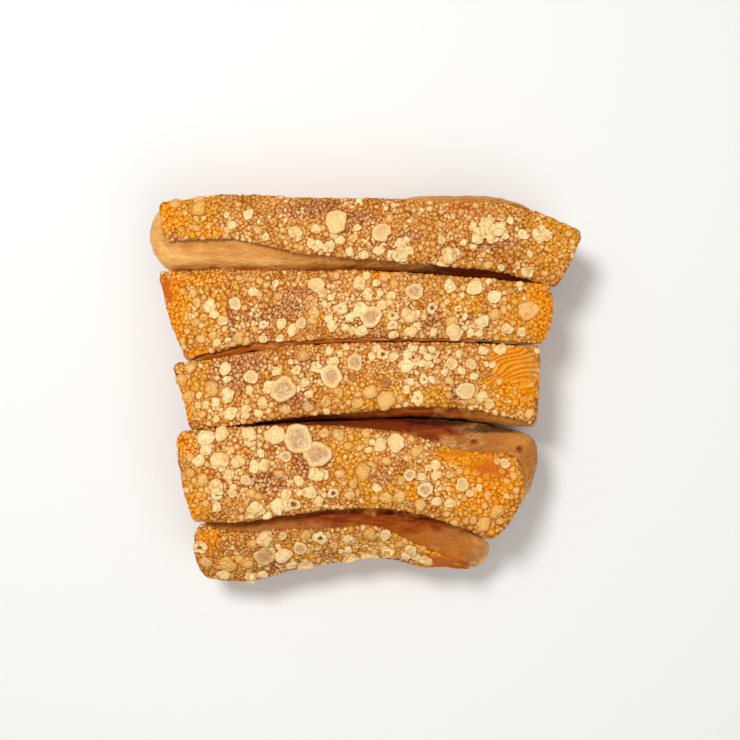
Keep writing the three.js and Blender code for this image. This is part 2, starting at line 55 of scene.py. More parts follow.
# A strip: the y of its skin's north and south edge at seven even places, how far the belly stands past them,
# and for each end its x at the north and the south corner and how far it bows out. Heights are at the left,
# middle and right. shelf: how far fat stands out right under the south edge of the crackling. pressed: how
# far the north and the south side swell out lower down, where they press on the next strip.
# blisters: x, y and radius as they look from above, and their kind, which is cream where none is named.
# patches: by what lies there, its x, y, and radius along X and along Y.
STRIPS = {
    "strip_1": dict(
        north=[64.5, 67.3, 66, 65.8, 64.6, 63.7, 54.8],
        south=[51.8, 52.2, 47.6, 45.2, 43.5, 41.4, 35.9],
        north_belly=[0.4, 0.4, 0.4, 0.6, 3.6, 3.2, 0.8],
        south_belly=[10.4, 10.3, 6.2, 3.6, 2.8, 3, 0],
        left_skin=(-72.3, -70, 0.2),
        left_belly=(-73, -71, 5.5),
        right_skin=(75, 66, 1.2),
        right_belly=(74.4, 65, 1),
        north_top=(33, 36, 35),
        south_top=(37.5, 37.5, 35.5),
        blisters=[
            (-66.8, 65.3, 2.3, "gold"), (-58.8, 67, 2.1, "gold"), (-58.6, 62.4, 2.7, "gold"),
            (-63.5, 61.2, 1.2, "gold"), (-48.8, 60.2, 1.2), (-41.4, 60.4, 1.9), (-45, 64, 1.1, "gold"),
            (-47, 56.8, 1.6), (-59.5, 55.6, 1.4, "gold"), (-38, 55.2, 1.6, "gold"), (-37.6, 57.9, 0.8),
            (-35.3, 52.3, 1.4, "pit"), (-29.3, 55, 1.1, "gold"), (-24.8, 53.5, 2.6, "lumpy"),
            (-17.7, 55.2, 1.8), (-19.4, 50.2, 1.7), (-17.2, 49.4, 2, "lumpy"), (-13.2, 49, 2.2, "lumpy"),
            (-10.6, 57.8, 4, "flat"), (-11.5, 53, 1.5), (-9.3, 51.5, 1.7), (-6, 47.2, 1.7),
            (-4.6, 52.2, 1.5), (-3.3, 55.5, 1.4), (-1, 46.3, 1.7), (-2.5, 65.3, 1.2),
            (5.3, 54.2, 3.3, "ring"), (8.2, 58.9, 1.5, "gold"), (4.5, 48.1, 1.9),
            (11.8, 49.6, 2.2, "lumpy"), (14, 51.6, 1.2), (11.5, 45.8, 2.6, "lumpy"), (8.6, 46.2, 1.9),
            (12.7, 43.2, 2.3), (14.8, 47.8, 1.8), (15.3, 58.1, 0.9), (26.2, 51.3, 1.5, "ring"),
            (26.9, 43.9, 2.5, "lumpy"), (28.9, 46.2, 2.8, "lumpy"), (31.2, 47.4, 1.6), (32, 46.8, 1.5),
            (34, 50.3, 1.3), (37.2, 49, 1.3), (39.2, 53.2, 2.8, "lumpy"), (43.4, 52.9, 2.9, "lumpy"),
            (45.9, 55.2, 2.9, "lumpy"), (42.2, 56.4, 2.9, "lumpy"), (43.2, 58.6, 1.6, "lumpy"),
            (48.6, 53.2, 1.6, "lumpy"), (37.2, 56.2, 1.6, "lumpy"), (38.2, 63.5, 1.2, "gold"),
            (50.3, 58.3, 1.4), (54.8, 53.4, 1.9, "lumpy"), (60.2, 53, 2.5, "lumpy"),
            (63, 53.2, 2, "lumpy"), (61.3, 55.8, 1.2), (52.6, 55.4, 0.9), (47.1, 41.6, 1.3, "ring"),
            (42.5, 42.8, 1.6, "gold"), (56.3, 40.6, 2.2, "lumpy"), (57.2, 46.5, 1.3),
            (39, 43.2, 1.2, "gold"),
        ],
        patches={
            "orange": [(-69, 61, 5, 7), (-56, 54, 9, 1.6)],
            "rosy": [(33, 60.5, 9, 3)],
            "plum": [(-20, 62, 13, 3.5), (-2, 58.5, 8, 4), (14, 53, 6, 3), (46, 50, 10, 3)],
            "golden": [(-62, 60, 15, 9), (66, 52, 9, 14)],
            "fine": [(-10, 61, 20, 5)],
            "lean": [(55, 40, 38, 7)],
            "char": [(43, 40.5, 29, 4.5)],
            "tan": [(44, 67, 34, 6), (-4, 42, 24, 4)],
            "pale": [(-6, 50, 22, 6), (42, 56, 14, 7)],
        },
    ),
    "strip_2": dict(
        north=[40, 40.8, 40.2, 40.5, 39.3, 37.3, 35.4],
        south=[9.8, 14.4, 16, 17, 16.9, 16.5, 15.4],
        south_belly=[0.3, 0.8, 0.9, 1, 0.8, 0.6, 0.1],
        shelf=[1.6, 2.7, 1.4, 1.4, 1.1, 1, 0.6],
        left_skin=(-72.3, -62.2, 1.6),
        left_belly=(-71.6, -64.6, 1.6),
        right_skin=(63.2, 61.6, 2.2),
        right_belly=(62.8, 61, 1.6),
        north_top=(36, 37, 37),
        south_top=(35, 37.5, 36.5),
        blisters=[
            (-64.2, 33.5, 1.4, "gold"), (-60.7, 32.8, 1.6, "gold"), (-59.3, 29.6, 1.8, "gold"),
            (-57, 31.3, 1.1, "gold"), (-54.9, 28.3, 2.3), (-53.3, 25.6, 1.7), (-50.2, 23, 1.8, "ring"),
            (-46, 29, 2.3, "ring"), (-42.8, 27.6, 1.2, "gold"), (-39.6, 33.3, 1.8),
            (-37.6, 32.2, 1.5, "gold"), (-31.8, 36.2, 1.4), (-37.5, 37, 1.5, "gold"),
            (-30.7, 31.8, 1.4, "gold"), (-44.5, 38.2, 1.3, "gold"), (-36, 21.8, 1.6, "pit"),
            (-39.2, 20.4, 1.4, "gold"), (-29.8, 22.3, 1.9), (-22.8, 22.3, 2, "ring"),
            (-25.8, 20.2, 2.2, "lumpy"), (-30.3, 16.4, 1.5), (-36.3, 17.3, 1.6),
            (-44.5, 16.9, 2.4, "gold"), (-42.3, 15.4, 2.2, "gold"), (-47, 15.2, 1.3, "gold"),
            (-57.9, 16.7, 1.7, "gold"), (-53.8, 18.5, 1.6, "gold"), (-52.3, 15, 1.6), (-48.5, 16.2, 1.2),
            (-59.8, 22.8, 1.6, "gold"), (-43, 19.5, 1.2, "gold"), (-57, 24.2, 1.5, "gold"),
            (-17.4, 35.8, 2.8, "flat"), (-15.7, 33.2, 1.9), (-12.3, 31.5, 1.4), (-14.8, 29, 1.3),
            (-19.5, 31.3, 1.2, "gold"), (-18.5, 26, 2.2, "gold"), (-19, 23.2, 1.8, "gold"),
            (-19.5, 17, 1.4, "gold"), (-9, 27.6, 2.4, "pit"), (-13.2, 24.2, 1.7), (-12, 21.4, 2, "lumpy"),
            (-5.6, 24.5, 1.8), (-7.5, 20.6, 1.5), (-5, 20.3, 1.4), (-2.6, 36.2, 2.4, "lumpy"),
            (-0.2, 38.8, 1.6), (0.5, 32.5, 2.1, "lumpy"), (-2.3, 27.2, 2.6), (1.6, 24.5, 3.7, "window"),
            (-1.8, 19.8, 2.2), (4.8, 33, 1.4), (6.2, 38.6, 2, "gold"), (3.3, 36.5, 1.4),
            (9.6, 36.2, 1.7, "gold"), (8.5, 32, 1.7), (12.5, 34.3, 1.3, "gold"), (5.5, 28.6, 2),
            (9.2, 25, 1.9, "pit"), (9, 21.9, 1.9, "pit"), (9.2, 18.7, 1.8), (7.7, 29.5, 1.4),
            (14.6, 25, 2.6), (17.4, 25.3, 1.7), (17.4, 20.8, 1.9), (15.4, 19.2, 2.2), (20.1, 24.6, 1.1),
            (16.8, 33.3, 3, "window"), (22.8, 27.5, 1.9, "pit"), (23.3, 19.4, 1.6), (29.3, 35.3, 2.3),
            (28, 29.8, 1.1), (32, 27.4, 1.3, "pit"), (32.3, 30.8, 1, "gold"), (37.8, 34.8, 2.8, "flat"),
            (38.5, 37.3, 1.2), (44.6, 31.6, 2.4, "flat"), (44.8, 25.2, 2.3, "gold"),
            (40.4, 22.8, 2.5, "lumpy"), (30.8, 18.6, 3, "flat"), (29.8, 22.8, 2.2, "gold"),
            (36.3, 18.5, 1.6), (39.5, 18.6, 1.5), (34.5, 24.5, 1.2), (49.2, 20.2, 2.1, "lumpy"),
            (54.3, 19, 1.7), (48, 27.2, 1.5, "gold"), (56.5, 26.8, 3.6, "low"), (45.5, 17.9, 1.3, "gold"),
            (42.7, 36.9, 1.3), (53.5, 36.6, 1.3),
        ],
        patches={
            "bare": [(-70, 34.5, 3, 5.5)],
            "orange": [
                (-67, 28, 5, 16), (-57, 38, 10, 2.6), (-55, 11.5, 9, 2.4), (60, 27, 6, 12),
                (6, 39, 5, 1.8),
            ],
            "rosy": [(-70.5, 35, 4, 6)],
            "plum": [
                (-34, 24.5, 8, 4), (-26, 28.5, 5, 4), (-47.5, 23, 2.4, 8), (-22, 33.5, 8, 2),
                (5, 18, 8, 2), (22, 23, 5, 4), (35, 24, 3, 2.5),
            ],
            "golden": [(-57, 26, 14, 15), (34, 29, 9, 4.5), (56, 26, 12, 12), (-18, 25, 4, 4.5)],
            "fine": [(59, 26, 7, 12)],
            "lean": [(0, 15, 45, 2.5), (-48, 12, 16, 4)],
            "pale": [(8, 27, 22, 13), (-14, 30, 9, 10), (36, 24, 12, 10), (-46, 20, 14, 7)],
        },
    ),
    "strip_3": dict(
        north=[7.5, 10.8, 14.2, 15.2, 15.4, 15, 14],
        south=[-14.5, -12.2, -9.5, -7.8, -6.2, -7.6, -12.6],
        south_belly=[0, 0.2, 1.4, 2.8, 4, 4.7, 1.6],
        pressed=([0] * 7, [0.7, 0.9, 1, 0.8, 0.7, 0.4, 0]),
        left_skin=(-67.6, -61.6, -0.8),
        left_belly=(-67.2, -61.6, -0.4),
        right_skin=(60.2, 58.8, 0.2),
        right_belly=(60.6, 60.4, 0.9),
        north_top=(36.5, 36.5, 37),
        south_top=(36, 38, 37),
        blisters=[
            (-64.8, 2.6, 2.3, "gold"), (-62.2, -3.4, 2.4, "gold"), (-61.7, 6.6, 1.9, "gold"),
            (-54.2, -0.4, 2.7, "gold"), (-49.3, 6.4, 2.2), (-48.9, 2.6, 1.4), (-48.4, -2.6, 2.5, "lumpy"),
            (-52.7, -5.2, 1.7), (-56.3, -6, 1.3, "ring"), (-58.9, -6.5, 1.2, "ring"),
            (-47.5, -9.4, 2.4, "lumpy"), (-42.2, -8, 1.7), (-42, -10.4, 1.6), (-37.8, -9.8, 1.6),
            (-57.5, -9.5, 1.5, "gold"), (-52.5, -11, 1.4), (-40.2, 3.7, 2.5, "ring"), (-41, -0.8, 1.6),
            (-36.4, -5.2, 2), (-31.3, 5.6, 1.7, "lumpy"), (-29.3, -0.8, 4.5, "window"), (-34, 0.3, 2.4),
            (-4.9, 3.3, 1.5, "dark"), (6.8, 1.6, 1.8, "dark"), (-24.6, 5.8, 1.8, "pit"),
            (-22, 11, 2.3, "gold"), (-17.4, 6.8, 2.1, "lumpy"), (-21.8, 1.6, 1.8, "lumpy"),
            (-24, -0.4, 1.2), (-12.4, 3.6, 3.9, "window"), (-11.8, 8.9, 2.1), (-13, 12.6, 1.7),
            (-7.2, 14, 1.4), (-9.2, 11.6, 1.3), (-4.2, 8.6, 2.9, "brown"), (-14.2, -5.4, 2.2, "gold"),
            (-20.5, -6.6, 2, "gold"), (-28.5, -7.8, 2, "gold"), (-20, -2.5, 1.6), (-9.8, -2, 2, "gold"),
            (-3.2, -5.2, 2.2, "gold"), (1.3, -1.5, 2.6, "gold"), (6.8, -4.6, 3.4, "low"),
            (12, -4.1, 1.6, "gold"), (17.8, -4.4, 2.4, "pit"), (13.8, -0.6, 1.6),
            (-2.8, -2.6, 0.9, "ring"), (15.4, 2.1, 1.5), (20, 2.9, 1.7, "pit"), (23, 2.6, 1.4),
            (5.7, 11.4, 2, "pit"), (3.6, 13.6, 1.6), (1.8, 10.8, 1.5), (9.5, 10.6, 1.8),
            (14.2, 11.2, 1.9), (13.8, 7.4, 2.6), (17.5, 8.8, 1.6, "pit"), (19.4, 8.3, 1.5),
            (16.2, 13.8, 1.7, "lumpy"), (19.8, 12.8, 1.4, "lumpy"), (22.8, 13.2, 1.5), (21.5, 10.5, 1.6),
            (22, 7.8, 1.4), (29.7, 8.2, 2.1, "ring"), (33.3, 5.7, 1.5), (27.5, 5.2, 1.4), (29, 12.5, 0.8),
            (32.5, 11.5, 1.5), (36.6, 8, 2, "ring"), (40.8, 12.8, 1.8, "lumpy"), (44, 7.8, 1.3),
            (41.8, 8, 1.1), (46.8, 13.2, 2.2), (34.7, -1.3, 3.2, "ring"), (40.5, -3.2, 2.2),
            (42.9, -6.2, 1.8, "ring"), (36.7, -5, 1.5, "gold"), (46.5, 2, 1.3, "gold"), (37.5, 3.5, 1.5),
            (29, 2.2, 1.6, "gold"), (57, -9.5, 1.8, "gold"), (59.6, 12.6, 1.2),
        ],
        patches={
            "bare": [(52.5, 8, 10, 6.8), (56, -1.5, 4, 4), (44.5, 3.5, 6, 3)],
            "wrinkled": [(51.5, 7, 13, 9.5)],
            "orange": [(52, 3, 10, 13), (-64, -6, 4, 8)],
            "plum": [
                (-47, 4, 9, 6), (-40, 9, 8, 3), (-22, 8, 5, 4), (-24, -5, 6, 3), (11, 13, 6, 2),
                (31, -3, 3, 3),
            ],
            "golden": [(3, -2, 17, 6), (24, -3, 8, 4), (-57, -2, 11, 13), (45, -3, 13, 8)],
            "lean": [(0, -13, 50, 10)],
            "tan": [(40, -12, 26, 8)],
            "pale": [(15, 9, 18, 9), (-12, 5, 14, 8), (37, -4, 8, 6), (-44, -7, 14, 5)],
        },
    ),
    "strip_4": dict(
        north=[-16, -14.6, -13.8, -14.6, -16.8, -22.4, -24.9],
        south=[-46.5, -46.8, -43.8, -42.1, -42.3, -46.4, -53.2],
        north_belly=[0, 0.2, 0.6, 2.4, 5, 9.6, 7.1],
        pressed=([0.7, 0.9, 1, 0.8, 0.7, 0.2, 0], [0] * 7),
        left_skin=(-65.2, -60.3, 1.5),
        left_belly=(-64.8, -60, 1.4),
        right_skin=(52.2, 44, 6),
        right_belly=(59.8, 44.2, 6.9),
        north_top=(37.5, 37.5, 35),
        south_top=(36.5, 38.5, 36),
        blisters=[
            (-56.1, -17.9, 3, "flat"), (-56, -21.6, 2.4), (-50.6, -16.3, 2.6), (-41.2, -16.4, 2.6),
            (-40.9, -18.9, 2.2), (-32, -16.9, 3.5, "flat"), (-23.8, -18.2, 5.2, "window"),
            (-17.3, -23.4, 4.7, "window"), (-51.3, -25.6, 3.2), (-50.7, -28.5, 1.3), (-58.6, -25.6, 2.2),
            (-61.6, -24.8, 1.7, "gold"), (-45, -26, 2.4), (-62, -30, 2, "gold"),
            (-57.5, -32.5, 2.2, "gold"), (-28.3, -24.3, 2, "window"), (-39.3, -28, 2.2),
            (-35.8, -27.3, 2.2), (-37, -23, 1.5), (-48.2, -30.6, 2), (-42.4, -32.5, 1.9, "ring"),
            (-52.6, -34.6, 2.7, "lumpy"), (-52.3, -37.8, 1.9, "pit"), (-46.9, -37.4, 1.7, "ring"),
            (-46.5, -35, 1.3), (-52.4, -42, 1.8), (-56.3, -40.5, 1.5, "gold"),
            (-58.7, -37.5, 1.2, "gold"), (-40.5, -37, 1.9, "gold"), (-37.6, -38.5, 1.6, "gold"),
            (-39, -43.2, 3.2, "lumpy"), (-35, -43.8, 1.7), (-31.2, -41.8, 2.8), (-27.8, -41.6, 2.2),
            (-25.4, -40.9, 2.2, "pit"), (-28.3, -37.4, 2), (-23.5, -37, 1.2), (-30.8, -30.2, 1.7, "gold"),
            (-17.7, -30.6, 2.6), (-15.2, -30.6, 2.1, "lumpy"), (-19.8, -37, 2.4, "lumpy"),
            (-16.8, -40.2, 1.9), (-11.8, -36.8, 1.9, "pit"), (-11.6, -41.2, 0.8, "ring"),
            (-23.5, -32.7, 2), (-9.5, -30.5, 1.8, "gold"), (-1.2, -29.5, 3, "gold"),
            (1.6, -28.2, 2.2, "gold"), (-6, -37.5, 1.8, "gold"), (-4.5, -33.8, 1.8, "gold"),
            (-15, -16.2, 1.9, "gold"), (-9.8, -16.7, 2.2, "gold"), (-6.5, -20.5, 1.7, "gold"),
            (-0.2, -16.1, 1.8, "gold"), (2, -19.3, 1.2), (0.6, -22, 1.3), (4.9, -20.2, 2.4),
            (10.3, -19.6, 3.2, "flat"), (15.6, -18.2, 1.4, "gold"), (17.4, -22.3, 2.2, "gold"),
            (14.5, -24.8, 1.5, "gold"), (7, -25.8, 1.7, "gold"), (24.2, -27.5, 2, "lumpy"),
            (21.8, -28.2, 1.4, "pit"), (15, -30.7, 2.1, "window"), (19.3, -31.2, 1.6), (24.3, -30.8, 1.9),
            (32.5, -29.3, 1.5, "gold"), (29, -30.6, 1.6, "gold"), (33.4, -34, 2.4, "ring"),
            (20.6, -36, 2.7, "window"), (29.2, -40.7, 2), (24.5, -39.8, 1.8), (18.8, -41.4, 2.2, "gold"),
            (11.5, -38, 2.2, "gold"), (6.8, -38.5, 2.3, "gold"), (2.8, -39, 1.5, "gold"),
            (3.5, -35.2, 1.7), (12, -33, 1.6, "gold"), (36, -37.2, 1.4, "ring"), (42.5, -38, 1.6, "gold"),
            (49, -38.2, 1, "ring"), (39.5, -35.2, 1.3), (45.5, -43.6, 2.6, "gold"),
            (40.5, -49, 2.6, "gold"), (36.8, -47.8, 1.5, "gold"), (31, -46.8, 1.5, "gold"),
            (49, -33, 1.3, "gold"), (51.5, -31, 1.5, "gold"), (45.6, -25.6, 1.5, "gold"),
            (48.5, -26.8, 1.8, "ring"), (46.5, -47.2, 1.5, "gold"),
        ],
        patches={
            "bare": [(31, -22.6, 8, 2.6), (41.5, -28, 7.5, 3.8)],
            "orange": [
                (34, -24.5, 13, 5), (44, -34, 13, 12), (-63, -20, 3.5, 5), (-62, -42, 4, 6),
                (16, -36.5, 3, 4.5),
            ],
            "tan": [(50, -22, 22, 13)],
            # painted shadow: a near-black band along strip 4's north side, down in the gap to strip 3
            "soot": [(27, -12.2, 15, 2), (45, -14.6, 14, 1.8)],
            "rosy": [(44, -29.5, 7, 3)],
            "plum": [(-34, -33, 10, 4), (-22, -28, 5, 5), (5, -32, 5, 3)],
            "golden": [
                (-5, -22, 14, 7), (4, -36, 12, 6), (-5, -31, 7, 4), (40, -38, 15, 12), (-60, -38, 6, 12),
            ],
            "lean": [
                (-8, -13, 42, 6), (24, -15, 12, 5), (53.5, -21.5, 1.6, 1.6), (37.4, -19.2, 1.6, 1.2),
            ],
            "char": [(4, -13, 29, 4.2)],
            "strands": [(36, -18, 16, 6), (61, -26, 8, 15)],
            "pale": [(-38, -26, 30, 14), (-35, -39, 26, 8), (28, -34, 12, 9), (4, -20, 12, 5)],
        },
    ),
    "strip_5": dict(
        north=[-48.8, -51.4, -50.2, -50.2, -49.2, -56.2, -62.2],
        south=[-68.8, -69.7, -65.5, -62.6, -60.9, -64, -65.4],
        north_belly=[1.3, 4, 5.7, 7.4, 5.9, 9.2, 8.4],
        south_belly=[-2, -2, -2, -1.6, -1.2, -0.6, 0.2],
        left_skin=(-58.6, -57.2, 3),
        left_belly=(-58, -56, 1.6),
        right_skin=(33.6, 36, 1.6),
        right_belly=(41, 40.4, 3.6),
        north_top=(34, 36.5, 33),
        south_top=(24, 23, 24),
        blisters=[
            (-58, -55.8, 2.7, "pit"), (-56, -61, 2.2, "gold"), (-48.5, -61.8, 3.2, "gold"),
            (-50, -65.5, 2.4), (-44.6, -60, 1.8, "gold"), (-41.5, -61.8, 2.1, "gold"),
            (-40.5, -66, 2.5, "lumpy"), (-36.5, -65.2, 2), (-39.9, -54.9, 1.9, "gold"), (-35.6, -52.9, 3),
            (-33.5, -55.6, 1.2), (-29.3, -52, 1.6, "ring"), (-35.5, -58.6, 4, "striped"),
            (-29.2, -58.5, 3.1), (-30.8, -55.6, 1.2), (-26.3, -62, 2.2), (-23.3, -56, 2.6, "window"),
            (-20.5, -57.2, 1.5, "gold"), (-21.3, -51.8, 2, "gold"), (-21.5, -62, 2.8, "flat"),
            (-16.2, -52.6, 2.6, "pit"), (-13.3, -52.2, 1.1, "ring"), (-11.3, -55.3, 1.5, "ring"),
            (-6.5, -52.8, 2.2, "lumpy"), (-6.3, -56.8, 1.6), (-9, -57.2, 1.1),
            (-10.9, -52.5, 1.2, "gold"), (-5.6, -60.6, 2.8, "lumpy"), (-0.2, -59.2, 2), (2.5, -58.8, 1.7),
            (6.6, -51.5, 2, "ring"), (1, -51.5, 2.8, "gold"), (7.4, -57.2, 2.4, "lumpy"),
            (5.2, -55, 1.6, "gold"), (15.6, -56.8, 2.5), (13.8, -59, 1.8), (17.6, -59.2, 1.8),
            (20.8, -60.2, 2.5), (11.5, -55, 1.5, "gold"), (13.5, -53.8, 1.5, "gold"),
        ],
        patches={
            "bare": [(30.5, -61, 10, 4), (-56.5, -51, 3, 1.6)],
            "orange": [(29.5, -60.5, 12, 5), (-55, -53, 5, 4)],
            "rosy": [(31, -61.5, 10, 4)],
            "tan": [(22, -53, 14, 7), (29, -54, 12, 7), (-14, -48, 50, 8)],
            "strands": [(14, -50, 18, 7), (26, -53, 11, 4.5), (37, -58.5, 6, 4.5), (-10, -48, 40, 6)],
            "golden": [(-6, -56, 34, 6), (-45, -61, 9, 4)],
            "plum": [(-14, -58, 4, 2), (-32, -62, 9, 2.4), (6, -60.5, 12, 1.8)],
            "lean": [(0, -46, 30, 3.5), (15, -48, 15, 3)],
            "pale": [(-14, -57, 34, 9)],
        },
    ),
}

# The belly from under the crackling's middle down the side and in under the foot. inward: 0 at the skin's
# edge, 1 at its middle line. down: depth below the skin, or share: height as a share of the strip's own.
# belly: 0 on the skin's outline, 1 on the belly's. out: how much further out. shelf and pressed: share of
# the strip's own.
SIDE = [
    dict(inward=0.6, down=2.4, belly=0),
    dict(inward=0.25, down=2.3, belly=0),
    dict(down=2.1, belly=0, out=-1.3),
    dict(down=2.2, belly=0.03, out=-0.7, shelf=0.6),
    dict(down=2.7, belly=0.2, out=-0.3, shelf=1),
    dict(down=3.5, belly=0.45, out=-0.1, shelf=1, pressed=0.6),
    dict(down=4.8, belly=0.8, shelf=0.6, pressed=1),
    dict(share=0.8, out=0.2, pressed=1),
    dict(share=0.72, out=0.3, pressed=0.5),
    dict(share=0.62, out=0.1),
    dict(share=0.52, out=-0.5),
    dict(share=0.43, out=-0.3),
    dict(share=0.34, out=0.3),
    dict(share=0.22, belly=0.98, out=-0.2),
    dict(share=0.1, belly=0.95, out=-0.5),
    dict(inward=0.03, share=0.03, belly=0.93, out=-0.6),
    dict(inward=0.1, share=0, belly=0.9, out=-0.5),
    dict(inward=0.4, share=0, belly=0.9),
    dict(inward=0.7, share=0, belly=0.9),
    dict(inward=1, share=0, belly=0.9),
]

PATCH_EDGE = (0.55, 1.15)  # shares of a patch's radius between which it fades
PATCH_STRAY = [(0.4, 3.5), (0.25, 1.4)]  # how far its edge strays, and over what size

TURN = np.array([[0.36, 0.48, -0.8], [-0.8, 0.6, 0.0], [0.48, 0.64, 0.6]])  # keeps noise off the axes
MIXERS = np.array([374761393, 668265263, 1440662683])  # large odd numbers that scatter a cell's place
SCATTER = 1274126177
BITS = 0xFFFFFFFF


def smoothstep(low, high, value):
    part = np.clip((value - low) / (high - low), 0, 1)
    return part * part * (3 - 2 * part)


def value_noise(points, size, seed=0):
    """Smooth noise from -1 to 1 whose features are about size across."""
    points = points @ TURN
    cell = np.floor(points / size).astype(np.int64)
    part = points / size - cell
    part = part * part * (3 - 2 * part)
    total = np.zeros(len(points))
    for corner in np.ndindex(2, 2, 2):
        mixed = ((cell + corner) @ MIXERS + seed * 97) & BITS
        mixed = ((mixed ^ (mixed >> 13)) * SCATTER) & BITS
        mixed = (mixed ^ (mixed >> 16)) & BITS
        weight = np.prod(np.where(corner, part, 1 - part), axis=1)
        total += weight * (mixed / 2**31 - 1)
    return total


def three_noises(points, size, seeds):
    """A smooth noise along each axis."""
    return np.stack([value_noise(points, size, seed) for seed in seeds], -1)


def unit(vectors):
    length = np.linalg.norm(vectors, axis=-1, keepdims=True)
    return vectors / np.maximum(length, 1e-9)


def seen_from_above(points):
    """Where points of the plan look to be from the eye, on the level of the skin."""
    scale = EYE_ABOVE_SKIN / (EYE_ABOVE_SKIN + SKIN_LEVEL - points[:, 2])
    return EYE + (points[:, :2] - EYE) * scale[:, None]


def long_edge(start_x, end_x, values, place):
    """A smooth long edge through y values at even places between two ends, at places from 0 to 1."""
    last = len(values) - 1
    at = place * last
    i = np.minimum(at.astype(int), last - 1)
    w = at - i

    def through(numbers):
        before, here, after, beyond = (numbers[np.clip(i + step, 0, last)] for step in (-1, 0, 1, 2))
        start, end = (after - before) / 2, (beyond - here) / 2
        cubic, square = 2 * here - 2 * after + start + end, 3 * after - 3 * here - 2 * start - end
        return ((cubic * w + square) * w + start) * w + here

    return np.stack([through(np.linspace(start_x, end_x, last + 1)), through(np.array(values, float))], -1)


class Outline:
    """An outline between two long edges and two ends that bow out. u runs from 0 at the left end to 1 at the
    right, and v from 0 at the north edge to 1 at the south edge."""

    def __init__(self, north, south, left, right):
        self.north, self.south, self.left, self.right = north, south, left, right

    def point(self, u, v):
        north = long_edge(self.left[0], self.right[0], self.north, u)
        south = long_edge(self.left[1], self.right[1], self.south, u)
        point = north + (south - north) * v[..., None]
        across = 2 * v - 1
        point[..., 0] += (1 - across**2) * (self.right[2] * u - self.left[2] * (1 - u))
        # The high powers keep the rounding to the corners.
        point[..., 0] -= CORNER * across**14 * (2 * u - 1) ** 13
        return point


class Strip:
    def __init__(self, name, sizes):
        self.name = name
        self.seed = list(STRIPS).index(name) + 1
        self.sizes = sizes
        self.skin = Outline(sizes["north"], sizes["south"], sizes["left_skin"], sizes["right_skin"])
        north = np.add(sizes["north"], sizes.get("north_belly", 0))
        south = np.subtract(sizes["south"], sizes.get("south_belly", 0))
        self.belly = Outline(north, south, sizes["left_belly"], sizes["right_belly"])

    def height(self, u, v):
        def along(tops):
            left, middle, right = tops
            return left + (right - left) * u - 2 * (left + right - 2 * middle) * u * (1 - u)

        edge = along(self.sizes["north_top"]) * (1 - v) + along(self.sizes["south_top"]) * v
        # The crown falls off near the long edges, and only right at the ends.
        return edge + CROWN * (1 - (2 * v - 1) ** 4) * (1 - (2 * u - 1) ** 16)

    def shelf(self, u, v):
        out = self.sizes.get("shelf", [0] * 7)
        return np.interp(u, np.linspace(0, 1, len(out)), out) * smoothstep(0.8, 1.0, v)

    def pressed(self, u, v):
        north, south = self.sizes.get("pressed", ([0] * 7, [0] * 7))
        places = np.linspace(0, 1, len(north))
        northward = np.interp(u, places, north) * smoothstep(0.2, 0.0, v)
        return northward + np.interp(u, places, south) * smoothstep(0.8, 1.0, v)

    def length(self):
        return self.sizes["right_skin"][0] - self.sizes["left_skin"][0]

    def width(self):
        plan = np.mean(np.subtract(self.sizes["north"], self.sizes["south"]))
        drop = np.mean(np.subtract(self.sizes["north_top"], self.sizes["south_top"]))
        return math.hypot(plan, drop)

    def patch(self, kind, points):
        """How much of a kind of patch lies at points as they look from above, 0 to 1."""
        seen = seen_from_above(points)
        total = np.zeros(len(seen))
        east, north = (
            sum(far * value_noise(points, size, seed) for far, size in PATCH_STRAY)
            for seed in (self.seed, self.seed + 10)
        )
        for x, y, rx, ry in self.sizes["patches"].get(kind, ()):
            stray = min(rx, ry)
            across = (seen[:, 0] - x + stray * east) / rx
            away = np.hypot(across, (seen[:, 1] - y + stray * north) / ry)
            total = np.maximum(total, 1 - smoothstep(*PATCH_EDGE, away))
        return total


# ---- meshes ----

WELD = 0.0001  # points nearer each other than this become one


def new_primitive(add, name, **settings):
    bpy.ops.object.select_all(action="DESELECT")
    add(**settings)
    made = bpy.context.object
    made.name = made.data.name = name
    return made


def edit(piece, *steps):
    """Runs steps on a mesh in edit mode, with nothing selected at first."""
    bpy.context.view_layer.objects.active = piece
    bpy.ops.object.mode_set(mode="EDIT")
    bpy.ops.mesh.select_mode(type="EDGE")
    bpy.ops.mesh.select_all(action="DESELECT")
    for step in steps:
        step()
    bpy.ops.object.mode_set(mode="OBJECT")


def read(piece, what):
    """The places, co, or normals of a mesh's points."""
    numbers = np.empty(len(piece.data.vertices) * 3)
    piece.data.vertices.foreach_get(what, numbers)
    return numbers.reshape(-1, 3)


def move_to(piece, points):
    piece.data.vertices.foreach_set("co", points.ravel())
    piece.data.update()


def store(piece, name, values):
    piece.data.attributes.new(name, "FLOAT", "POINT").data.foreach_set("value", values.astype(np.float32))


def middle_line(strip, u, down):
    """Points under the skin's middle line, which ends as far from the strip's ends as from its edges."""
    u = 0.5 + (u - 0.5) * (1 - strip.width() / strip.length())
    v = np.full(len(u), 0.5)
    return np.c_[strip.skin.point(u, v), strip.height(u, v) - down]


def finish_piece(piece, strip, finish):
    """Welds the last rings on their middle line, and gives the piece its finish and place in the frame."""
    edit(piece, bpy.ops.mesh.select_non_manifold, lambda: bpy.ops.mesh.remove_doubles(threshold=WELD * MM))
    bpy.ops.object.select_all(action="DESELECT")
    piece.select_set(True)
    bpy.context.view_layer.objects.active = piece
    bpy.ops.object.shade_smooth()
    piece.data.materials.append(finish)
    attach(piece, "root")
    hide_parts(strip.name)


# ---- crackling ----

TRIANGLES = 192000  # the most in one piece
FINEST_STEP = 0.15  # between the sheet's rows, and more where that makes too many triangles
SHEET_UNDERSIDE = 2.6  # how far under the skin its middle line is

